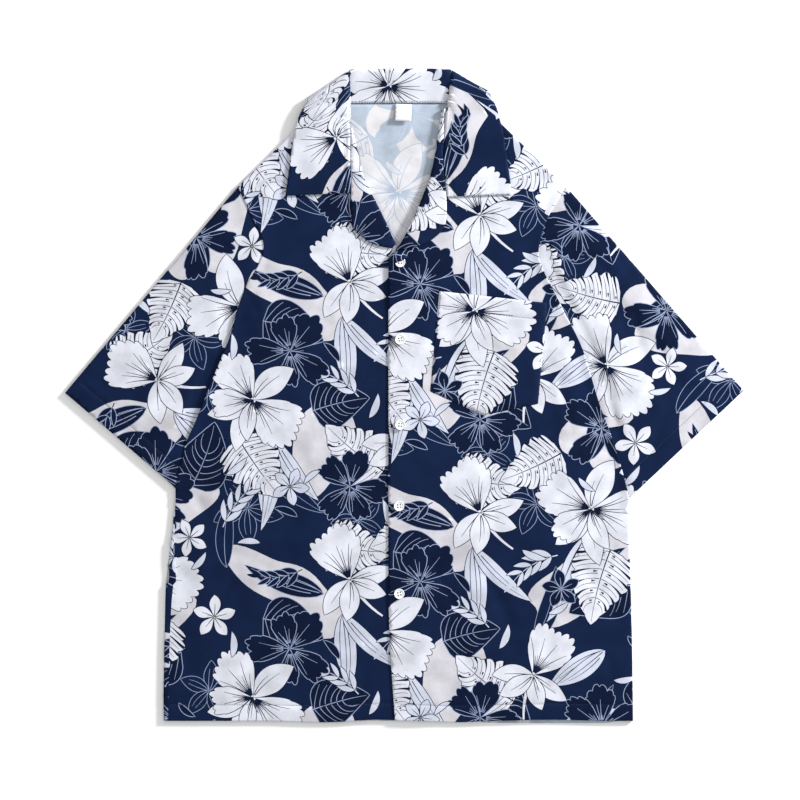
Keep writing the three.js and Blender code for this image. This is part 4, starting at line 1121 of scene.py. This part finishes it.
def facing_sections(roll, lapel, inwards, height):
    """A strip under the front, a roll round its edge, and the lapel on top."""
    roll_line, lapel_line = smooth_line(roll, 1.5), smooth_line(lapel, 1.5)
    shares = np.linspace(0, 1, 37)
    centre, outer = even_points(roll_line, shares), even_points(lapel_line, shares)
    inner = leftwards(centre) * -inwards
    columns = []
    for by in (9.0, 6.0, 3.0):
        at = centre + inner * by
        columns.append(np.column_stack([at, height(*at.T) - PLY_STEP]))
    for angle in np.linspace(0, math.pi, 8):
        at = centre - inner * PLY_STEP * math.sin(angle)
        columns.append(np.column_stack([at, height(*centre.T) - PLY_STEP * math.cos(angle)]))
    for share in np.linspace(0, 1, 9)[1:]:
        at = mix(centre, outer, share)
        loft = LAPEL_LOFT * math.sin(math.pi * share * 0.8)
        columns.append(np.column_stack([at, height(*at.T) + PLY_STEP + loft]))
    return np.stack(columns, axis=1)


def collar_sections():
    """The collar's sections, from the neck seam round the roll to the outer edge."""
    sections = []
    for seam_x, seam_y, roll_x, roll_y, edge_x, edge_y, turn, curl in COLLAR_SECTIONS:
        behind = (math.sin(math.radians(turn)) + 1) / 2
        radius = mix(COLLAR_ROLL_FRONT, COLLAR_ROLL_BACK, behind)
        outwards = np.array([edge_x - roll_x, edge_y - roll_y, 0.0])
        outwards /= np.linalg.norm(outwards)
        level = np.array([-outwards[1], outwards[0], 0.0])
        level *= -1 if level[1] > 0 else 1
        stand_side = level * math.cos(math.radians(turn)) + (0, 0, math.sin(math.radians(turn)))
        leaf_edge, leaf_seam = leaf_height(edge_x, edge_y), leaf_height(seam_x, seam_y)
        edge = np.array([edge_x, edge_y, mix(leaf_edge, FALL_HEIGHT, 0.5)])
        edge = edge - stand_side * (leaf_edge - FALL_HEIGHT) / 2
        if curl == 0:
            start = np.array([seam_x, seam_y, leaf_seam])
            lengths = [2 * k / 3 for k in range(3)] + [2 + math.pi * radius * k / 6 for k in range(7)]
            points = [start + outwards * length for length in lengths]
        else:
            centre_z = mix(leaf_height(roll_x, roll_y) - radius, FALL_HEIGHT + radius, behind)
            centre = np.array([roll_x, roll_y, centre_z])
            seam_z = leaf_seam - COLLAR_SEAM_DROP if turn < 0 else FALL_HEIGHT + COLLAR_SEAM_LIFT
            seam = np.array([seam_x, seam_y, seam_z])
            points = [mix(seam, centre + stand_side * radius, k / 3) for k in range(3)]
            for angle in math.pi * np.arange(7) / 6:
                rolled = stand_side * math.cos(angle) - outwards * math.sin(angle)
                points.append(centre + radius * rolled)
        start = points[-1]
        for k in range(1, 7):
            at = mix(start, edge, k / 6)
            if turn == -90:
                at[2] = leaf_height(at[0], at[1])
            points.append(at)
        sections.append(points)
    return np.array(sections, float)


def pocket(offset, material):
    """The patch pocket, sewn on round three sides, with a turned hem along its mouth."""
    outline = straight_line(POCKET + POCKET[:1])[:-1]
    sewn_edge = straight_line([POCKET[4], POCKET[0], POCKET[1], POCKET[2], POCKET[3]])
    left, right = np.array(POCKET[4], float), np.array(POCKET[3], float)
    down = (np.array(POCKET[0]) - left) / np.linalg.norm(np.array(POCKET[0]) - left)
    hem = straight_line([left + down * POCKET_HEM_DEPTH, right + down * POCKET_HEM_DEPTH])
    rails = [hem + down * by for by in GROOVE_RAILS]

    def place(flat):
        x, y = flat[:, 0], flat[:, 1]
        away = distance(flat, sewn_edge)
        mouth = np.abs((flat - left) @ down)
        z = over_height(x, y) + SOLID_CLOTH * 0.8 + LOOSE_GAP * ease(0, 8, away)
        z = z - rounded_drop(away, SEAM_ROUND)
        z = z - POCKET_GROOVE_DEPTH * (1 - ease(1.0, 2.6, away)) * ease(0.5, 1.0, away)
        z = z + POCKET_LOFT * (1 - ease(4, 40, mouth)) * ease(0, 50, away)
        return np.column_stack([flat, z - groove(flat, hem, GROOVE_WIDTH, POCKET_GROOVE_DEPTH)])

    made = sheet("pocket", outline, place, material, offset=offset, lines=rails, grid=3.5)
    return made, place, sewn_edge, hem


def label(material):
    """The bare woven label, sewn to the neck seam by its upper edge."""
    width, length = LABEL_WIDTH, LABEL_LENGTH
    outline = straight_line([(-width / 2, -length), (width / 2, -length), (width / 2, 0), (-width / 2, 0),
                             (-width / 2, -length)], 1.5)[:-1]

    def place(flat):
        share = -flat[:, 1] / length
        x = flat[:, 0] * math.cos(LABEL_TILT) - flat[:, 1] * math.sin(LABEL_TILT) - 1
        y = flat[:, 0] * math.sin(LABEL_TILT) + flat[:, 1] * math.cos(LABEL_TILT) + NECK_Y - 0.8
        curve = 0.35 * np.cos(flat[:, 0] / width * math.pi) * share
        z = back_height(x, y) + 1.3 + 2.4 * share + curve
        return np.column_stack([x, y, z])

    return sheet("neck_label", outline, place, material, outer=0, thick=THIN_CLOTH, grid=2.5, plain=True)


def buttonhole_lip(material):
    """The cloth round the top buttonhole, which the button has pulled up over its upper half."""
    x, y = BUTTONS["button_1"]
    turn = np.radians(np.linspace(*LIP_ENDS, 25))
    outline = np.stack([x + LIP_RADIUS * np.cos(turn), y + LIP_ABOVE + LIP_RADIUS * np.sin(turn)], 1)
    outline = np.vstack([outline[:-1], straight_line([outline[-1], outline[0]], 1.2)[:-1]])

    def place(flat):
        away = np.hypot(flat[:, 0] - x, flat[:, 1] - y)
        rise = LIP_RISE * (1 - ease(5.4, 10.2, away))
        return np.column_stack([flat, over_height(*flat.T) + LIP_LOWEST + rise])

    return sheet("buttonhole_lip", outline, place, material, offset=OVER_PRINT, thick=THIN_CLOTH, grid=1.5)


def linear(colour):
    """An sRGB hex colour as linear RGBA."""
    parts = [int(colour[k:k + 2], 16) / 255 for k in (1, 3, 5)]
    return tuple(c / 12.92 if c <= 0.04045 else ((c + 0.055) / 1.055) ** 2.4 for c in parts) + (1.0,)


def node(tree, kind, values=None, links=None, **settings):
    """Adds a node, sets its inputs and links others' outputs to them."""
    made = tree.nodes.new(kind)
    for key, value in settings.items():
        setattr(made, key, value)
    for key, value in (values or {}).items():
        made.inputs[key].default_value = value
    for key, output in (links or {}).items():
        tree.links.new(output, made.inputs[key])
    return made


def new_material(name, **values):
    """A material, its nodes and its shader, with uniform values set on the shader."""
    material = bpy.data.materials.new(name)
    material.use_nodes = True
    shader = material.node_tree.nodes["Principled BSDF"]
    for key, value in values.items():
        shader.inputs[key.replace("_", " ")].default_value = value
    return material, material.node_tree, shader


def ink_colours(tree, ink, colours):
    """The colour of each ink, in the order of the inks' places."""
    ramp = node(tree, "ShaderNodeValToRGB", None, {"Fac": ink})
    ramp.color_ramp.interpolation = "CONSTANT"
    stops = ramp.color_ramp.elements
    for k, colour in enumerate(colours):
        start = max(0.0, k / (len(colours) - 1) - 0.1)
        stop = stops[k] if k < 2 else stops.new(start)
        stop.position = start
        stop.color = linear(colour)
    return ramp.outputs["Color"]


def printed_cloth():
    """Plain-woven polyester, printed on one side. Its fine threads give it a soft, even sheen, and
    the dye shows through paler on the reverse."""
    material, tree, shader = new_material("printed_polyester", Roughness=0.7, IOR=1.5,
                                          Specular_IOR_Level=0.06, Sheen_Weight=0.035, Sheen_Roughness=0.4,
                                          Sheen_Tint=linear("#c8d4f0"))
    ink = node(tree, "ShaderNodeAttribute", attribute_name="ink").outputs["Fac"]
    reverse = node(tree, "ShaderNodeAttribute", attribute_name="reverse").outputs["Fac"]
    place = node(tree, "ShaderNodeTexCoord").outputs["Object"]
    right, wrong = ink_colours(tree, ink, RIGHT_SIDE), ink_colours(tree, ink, REVERSE)
    sides = node(tree, "ShaderNodeMix", None, {0: reverse, 6: right, 7: wrong}, data_type="RGBA")
    dye = node(tree, "ShaderNodeTexNoise", {"Scale": 900.0, "Detail": 2.0}, {"Vector": place})
    cloud = node(tree, "ShaderNodeTexNoise", {"Scale": 42.0, "Detail": 3.0}, {"Vector": place})
    uneven = node(tree, "ShaderNodeMath", {1: 0.3}, {0: dye.outputs["Fac"], 2: cloud.outputs["Fac"]},
                  operation="MULTIPLY_ADD")
    tone = node(tree, "ShaderNodeMapRange", {1: 0.45, 2: 0.8, 3: 0.755, 4: 1.0}, {0: uneven.outputs[0]})
    dyed = node(tree, "ShaderNodeHueSaturation", None, {"Color": sides.outputs[2], "Value": tone.outputs[0]})
    tree.links.new(dyed.outputs[0], shader.inputs["Base Color"])
    rough = node(tree, "ShaderNodeMapRange", {1: 0.3, 2: 0.7, 3: 0.6, 4: 0.78}, {0: dye.outputs["Fac"]})
    tree.links.new(rough.outputs[0], shader.inputs["Roughness"])
    threads = []
    for direction in ("X", "Y"):
        wave = node(tree, "ShaderNodeTexWave", {"Scale": WAVE_TURN / THREAD_PITCH, "Distortion": 0.6},
                    {"Vector": place}, wave_type="BANDS", bands_direction=direction)
        threads.append(wave.outputs["Fac"])
    weave = node(tree, "ShaderNodeMath", None, {0: threads[0], 1: threads[1]}, operation="MULTIPLY")
    bump = node(tree, "ShaderNodeBump", {"Strength": 0.2, "Distance": 0.00006}, {"Height": weave.outputs[0]})
    tree.links.new(bump.outputs[0], shader.inputs["Normal"])
    return material


def label_cloth():
    """Woven satin tape: white, its long floats shine softly along the ribs."""
    material, tree, shader = new_material("satin_tape", Roughness=0.42, Base_Color=linear("#d9dbe0"))
    place = node(tree, "ShaderNodeTexCoord").outputs["Object"]
    ribs = node(tree, "ShaderNodeTexWave", {"Scale": WAVE_TURN / RIB_PITCH, "Distortion": 0.3},
                {"Vector": place}, wave_type="BANDS", bands_direction="Y")
    bump = node(tree, "ShaderNodeBump", {"Strength": 0.3, "Distance": 0.0001},
                {"Height": ribs.outputs["Fac"]})
    tree.links.new(bump.outputs[0], shader.inputs["Normal"])
    return material


def button_resin():
    """Cast and polished polyester resin with a pearly cloud in it. The polish gives sharp lights."""
    material, tree, shader = new_material("pearl_resin", Roughness=0.24, IOR=1.54, Coat_Weight=0.3)
    place = node(tree, "ShaderNodeTexCoord").outputs["Object"]
    cloud = node(tree, "ShaderNodeTexNoise", {"Scale": 260.0, "Detail": 3.0}, {"Vector": place})
    tone = node(tree, "ShaderNodeMix", {6: linear("#eef0f2"), 7: linear("#fdfdfd")},
                {0: cloud.outputs["Fac"]}, data_type="RGBA")
    tree.links.new(tone.outputs[2], shader.inputs["Base Color"])
    return material


def spun_thread(name, colour):
    """Two-ply polyester sewing thread: its twist breaks the light into small dashes."""
    material, tree, shader = new_material(name, Roughness=0.55, Base_Color=linear(colour))
    place = node(tree, "ShaderNodeTexCoord").outputs["Object"]
    twist = node(tree, "ShaderNodeTexWave", {"Scale": WAVE_TURN / TWIST_PITCH}, {"Vector": place},
                 wave_type="BANDS", bands_direction="DIAGONAL")
    bump = node(tree, "ShaderNodeBump", {"Strength": 0.4, "Distance": 0.0001},
                {"Height": twist.outputs["Fac"]})
    tree.links.new(bump.outputs[0], shader.inputs["Normal"])
    return material


def floor_paint():
    """Matt white paint on a smooth board: nearly no shine."""
    material, _, _ = new_material("matt_paint", Roughness=0.95, Specular_IOR_Level=0.1,
                                  Base_Color=linear("#fdfdfd"))
    return material


DESIGN = design()
PRINT_POINTS, PRINT_EDGES = print_edges(DESIGN)
CLOTH_MATERIAL = printed_cloth()
LABEL_MATERIAL = label_cloth()
BUTTON_MATERIAL = button_resin()
# Navy thread: the real colour of the seam stitches, and painted shade in the plugs that fill the button
# holes
NAVY_THREAD_AND_HOLE_SHADE = spun_thread("navy_thread_and_hole_shade", "#1e2a50")
BUTTON_THREAD = spun_thread("white_thread", "#f6f6f4")


def soft_light(name, place, aim, size, power):
    """A square soft lamp that faces a point."""
    lamp = bpy.data.lights.new(name, "AREA")
    lamp.size = size
    lamp.energy = power
    made = bpy.data.objects.new(name, lamp)
    made.location = place
    made.rotation_euler = (Vector(aim) - Vector(place)).to_track_quat("-Z", "Y").to_euler()
    bpy.context.collection.objects.link(made)


def own(piece, nodes, slot, flat=None, rests_on=(), area=None):
    """Parents a finished piece to the root body and hides the CAD parts that it stands in for."""
    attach(piece, "root")
    if nodes:
        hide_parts(*nodes)
    if flat:
        list(rests_on)


def area_of(piece):
    """Half the surface of a thin wall, in square metres."""
    return sum(face.area for face in piece.data.polygons) / 2


def only(piece):
    """Makes one piece the only selected and the active one."""
    bpy.ops.object.select_all(action="DESELECT")
    piece.select_set(True)
    bpy.context.view_layer.objects.active = piece


def applied(piece, kind, **settings):
    """Adds a modifier and applies it."""
    only(piece)
    added = piece.modifiers.new(kind.lower(), kind)
    for key, value in settings.items():
        setattr(added, key, value)
    bpy.ops.object.modifier_apply(modifier=added.name)


def top_selected(piece):
    """Goes into edit mode with the uppermost face selected."""
    only(piece)
    bpy.ops.object.mode_set(mode="EDIT")
    bpy.ops.mesh.select_mode(type="FACE")
    bpy.ops.mesh.select_all(action="DESELECT")
    bpy.ops.object.mode_set(mode="OBJECT")
    faces = piece.data.polygons
    highest = max(faces, key=lambda face: face.center.z + face.normal.z)
    highest.select = True
    bpy.ops.object.mode_set(mode="EDIT")


def button_holes():
    """The places of a button's four holes, in X and Y."""
    corners = np.radians([45, 135, 225, 315])
    return BUTTON_HOLE_SPREAD * np.stack([np.cos(corners), np.sin(corners)], 1)


def button_blank():
    """A four-hole button: a disc with a raised rim, a dished middle and four holes."""
    bpy.ops.object.select_all(action="DESELECT")
    bpy.ops.mesh.primitive_cylinder_add(vertices=56, radius=BUTTON_RADIUS, depth=BUTTON_THICK,
                                        location=(0, 0, BUTTON_THICK / 2))
    blank = bpy.context.object
    bpy.ops.object.transform_apply(location=True, rotation=True, scale=True)
    top_selected(blank)
    for inset, rise in ((BUTTON_RIM, BUTTON_RIM_RISE), (BUTTON_SLOPE, -BUTTON_SLOPE),
                        (BUTTON_DISH, BUTTON_CROWN)):
        bpy.ops.mesh.inset(thickness=inset)
        bpy.ops.transform.translate(value=(0, 0, rise))
    bpy.ops.object.mode_set(mode="OBJECT")
    applied(blank, "BEVEL", width=BUTTON_BEVEL, segments=3, limit_method="ANGLE")
    for x, y in button_holes():
        bpy.ops.object.select_all(action="DESELECT")
        bpy.ops.mesh.primitive_cylinder_add(vertices=20, radius=BUTTON_HOLE / 2, depth=BUTTON_THICK * 3,
                                            location=(x, y, 0))
        drill = bpy.context.object
        applied(blank, "BOOLEAN", object=drill, operation="DIFFERENCE", solver="EXACT")
        bpy.data.objects.remove(drill)
    return blank


def stitch_blank(length, width):
    """One stitch along X: a short round bar that narrows where it goes into the cloth."""
    bpy.ops.object.select_all(action="DESELECT")
    bpy.ops.mesh.primitive_cylinder_add(vertices=6, radius=width / 2, depth=length * 0.6,
                                        rotation=(0, math.pi / 2, 0))
    blank = bpy.context.object
    bpy.ops.object.transform_apply(location=True, rotation=True, scale=True)
    for side in (-1, 1):
        bpy.ops.object.mode_set(mode="OBJECT")
        for face in blank.data.polygons:
            face.select = face.normal.x * side > 0.9
        bpy.ops.object.mode_set(mode="EDIT")
        bpy.ops.mesh.select_mode(type="FACE")
        move = {"value": (side * length * 0.2, 0, -width * 0.5)}
        bpy.ops.mesh.extrude_region_move(TRANSFORM_OT_translate=move)
        bpy.ops.transform.resize(value=(1, 0.45, 0.45))
        bpy.ops.mesh.select_all(action="DESELECT")
    bpy.ops.object.mode_set(mode="OBJECT")
    return blank


def hole_shade_plug_blank():
    """A bundle of thread in a button's hole, a little below its face, drawn in the navy seam thread: its
    navy is painted shade for the dark inside of the hole.
    """
    bpy.ops.object.select_all(action="DESELECT")
    bpy.ops.mesh.primitive_cylinder_add(vertices=10, radius=HOLE_SHADE_RADIUS, depth=HOLE_SHADE_DEPTH,
                                        location=(0, 0, HOLE_SHADE_DEPTH / 2))
    bpy.ops.object.transform_apply(location=True, rotation=True, scale=True)
    return bpy.context.object


def taken(blank):
    """The points and faces of a blank, which is then removed."""
    points = np.array([tuple(corner.co) for corner in blank.data.vertices])
    faces = [tuple(face.vertices) for face in blank.data.polygons]
    bpy.data.objects.remove(blank)
    return points, faces


def joined(name, parts, material):
    """One piece from many (points, faces), in millimetres."""
    points, faces, total = [], [], 0
    for part, corners in parts:
        points.append(part)
        faces += [tuple(k + total for k in face) for face in corners]
        total += len(part)
    mesh = bpy.data.meshes.new(name)
    mesh.from_pydata((np.vstack(points) / 1000).tolist(), [], faces)
    piece = add_object(name, mesh, material)
    only(piece)
    bpy.ops.object.shade_smooth_by_angle(angle=math.radians(50))
    return piece


def sewn(blank, line, place, lift):
    """Copies of a stitch along a flat line of a placed sheet, on the side that lift points to."""
    points, faces = blank
    length = np.linalg.norm(np.diff(line, axis=0), axis=1).sum()
    count = int(length / STITCH_PITCH)
    shares = (np.arange(count) + 0.5) / count
    at = even_points(line, shares)
    ahead = unit(even_points(line, shares + 0.3 / length) - even_points(line, shares - 0.3 / length))
    centre, up = place(at), normals_of(place, at) * math.copysign(1, lift)
    along = unit(place(at + ahead * 0.3) - place(at - ahead * 0.3))
    aside = np.cross(up, along)
    centre = centre + up * abs(lift)
    return [(c + points @ np.stack([a, b, u]), faces) for c, a, b, u in zip(centre, along, aside, up)]


back_piece, back_place, back_hem = back(CLOTH_MATERIAL)
under_piece, under_place, under_hem = front(
    "front_under", SIDE_LEFT, ARMHOLE_LEFT, UNDER_EDGE, UNDER_ROLL, NECK_LEFT, 1, under_height, UNDER_PRINT,
    CLOTH_MATERIAL, SIDE_SEAM)
over_piece, over_place, over_hem = front(
    "front_over", SIDE_RIGHT, ARMHOLE_RIGHT, OVER_EDGE, OVER_ROLL, NECK_RIGHT, -1, over_height, OVER_PRINT,
    CLOTH_MATERIAL)
sleeve_left, left_place, left_hem = sleeve(
    "sleeve_left", ARMHOLE_LEFT, SLEEVE_HEM_LEFT, 1, SLEEVE_LEFT_PRINT, SLEEVE_PRINT_TURN,
    CLOTH_MATERIAL, LEFT_DIP_END)
sleeve_right, right_place, right_hem = sleeve(
    "sleeve_right", ARMHOLE_RIGHT, SLEEVE_HEM_RIGHT, -1, SLEEVE_RIGHT_PRINT, -SLEEVE_PRINT_TURN,
    CLOTH_MATERIAL, RIGHT_DIP_END)
facings = {}
for name, roll, lapel, inwards, height in (
        ("facing_under", UNDER_ROLL, UNDER_LAPEL, -1, under_height),
        ("facing_over", OVER_ROLL, OVER_LAPEL, 1, over_height)):
    outline, place, _ = ribbon(facing_sections(roll, lapel, inwards, height))
    facings[name] = sheet(name, outline, place, CLOTH_MATERIAL, offset=FACING_PRINT,
                          turn=FACING_PRINT_TURN * inwards, grid=3.0, outer=-inwards)
outline, collar_place, collar_along = ribbon(collar_sections())
collar = sheet("collar", outline, collar_place, CLOTH_MATERIAL, offset=COLLAR_PRINT, grid=3.0, outer=0,
               thick=COLLAR_CLOTH)
pocket_piece, pocket_place, pocket_edge, pocket_hem = pocket(POCKET_PRINT, CLOTH_MATERIAL)
label_piece = label(LABEL_MATERIAL)
lip_piece = buttonhole_lip(CLOTH_MATERIAL)

# Each sheet with its node, its slot, its flat size in metres and what it rests on
for piece, name, slot, flat, rests_on in (
        (back_piece, "back", "printed_cloth", (0.54, 0.705), ()),
        (under_piece, "front_under", "printed_cloth", (0.285, 0.705), ["back"]),
        (over_piece, "front_over", "printed_cloth", (0.28, 0.705), ["back"]),
        (sleeve_left, "sleeve_left", "printed_cloth", (0.70, 0.30), ()),
        (sleeve_right, "sleeve_right", "printed_cloth", (0.70, 0.30), ()),
        (facings["facing_under"], "facing_under", "printed_cloth", (0.07, 0.18), ["front_under"]),
        (facings["facing_over"], "facing_over", "printed_cloth", (0.08, 0.20), ["front_over"]),
        (collar, "collar", "collar_cloth", (0.50, 0.12), ["back"]),
        (pocket_piece, "pocket", "printed_cloth", (0.124, 0.14), ["front_over"])):
    own(piece, [name], slot, flat, rests_on, area_of(piece))
own(label_piece, ["neck_label"], "label_cloth", (0.0185, 0.0195), ["back"])
own(lip_piece, None, "printed_cloth", (0.021, 0.017), ["front_over"], area_of(lip_piece))

button_points, button_faces = taken(button_blank())
seam_stitch = taken(stitch_blank(STITCH_LENGTH, STITCH_WIDTH))
thread_points, thread_faces = taken(stitch_blank(THREAD_LENGTH, THREAD_WIDTH))
hole_shade_points, hole_shade_faces = taken(hole_shade_plug_blank())
threads, stitches = [], []
for (name, (x, y)), turn in zip(BUTTONS.items(), BUTTON_TURNS):
    spin = np.eye(3)
    spin[:2, :2] = turning(turn)
    centre = np.array([x, y, float(over_height(np.array(x), np.array(y))) + BUTTON_LIFT])
    button = joined(name + "_resin", [(button_points @ spin + centre, button_faces)], BUTTON_MATERIAL)
    own(button, [name], "button_resin")
    for side in (-1, 1):
        lift = (0, side * BUTTON_HOLE_SPREAD * math.sqrt(0.5), BUTTON_THICK - THREAD_BELOW_RIM)
        threads.append(((thread_points + lift) @ spin + centre, thread_faces))
    # A navy plug in each hole: painted shade for the dark inside of the hole
    for hole in button_holes():
        stitches.append(((hole_shade_points + (*hole, 0)) @ spin + centre, hole_shade_faces))
own(joined("button_threads", threads, BUTTON_THREAD), None, "button_resin")

for line, place, lift in (
        (under_hem, under_place, STITCH_LIFT), (over_hem, over_place, STITCH_LIFT),
        (back_hem, back_place, BACK_STITCH_LIFT), (left_hem, left_place, STITCH_LIFT),
        (right_hem, right_place, STITCH_LIFT), (pocket_hem, pocket_place, STITCH_LIFT),
        (inset_line(pocket_edge, POCKET_STITCH_INSET), pocket_place, STITCH_LIFT)):
    stitches += sewn(seam_stitch, line[2:-2], place, lift)
neck = collar_along[NECK_SECTIONS]
for by in NECK_STITCHES:
    line = np.column_stack([np.linspace(*neck, 40), np.full(40, by)])
    stitches += sewn(seam_stitch, line, collar_place, NECK_STITCH_LIFT)
# The seam stitches, joined with the navy plugs that paint the shade inside the button holes
own(joined("seam_stitches_and_hole_shade", stitches, NAVY_THREAD_AND_HOLE_SHADE), None, "printed_cloth")

bpy.ops.mesh.primitive_plane_add(size=FLOOR_SIZE)
floor = bpy.context.object
floor.name = "floor"
floor.data.materials.append(floor_paint())

soft_light("key", KEY_PLACE, (0, 0, 0), KEY_SIZE, KEY_POWER)
bpy.context.scene.view_settings.view_transform = "Standard"
world = bpy.data.worlds.new("studio")
world.use_nodes = True
world.node_tree.nodes["Background"].inputs["Color"].default_value = (1, 1, 1, 1)
world.node_tree.nodes["Background"].inputs["Strength"].default_value = FILL_STRENGTH
bpy.context.scene.world = world

camera_data = bpy.data.cameras.new("camera")
camera_data.lens = CAMERA_LENS
camera_data.sensor_width = CAMERA_SENSOR
camera_data.clip_end = CAMERA_REACH
camera = bpy.data.objects.new("camera", camera_data)
camera.location = CAMERA_PLACE
bpy.context.collection.objects.link(camera)
bpy.context.scene.camera = camera
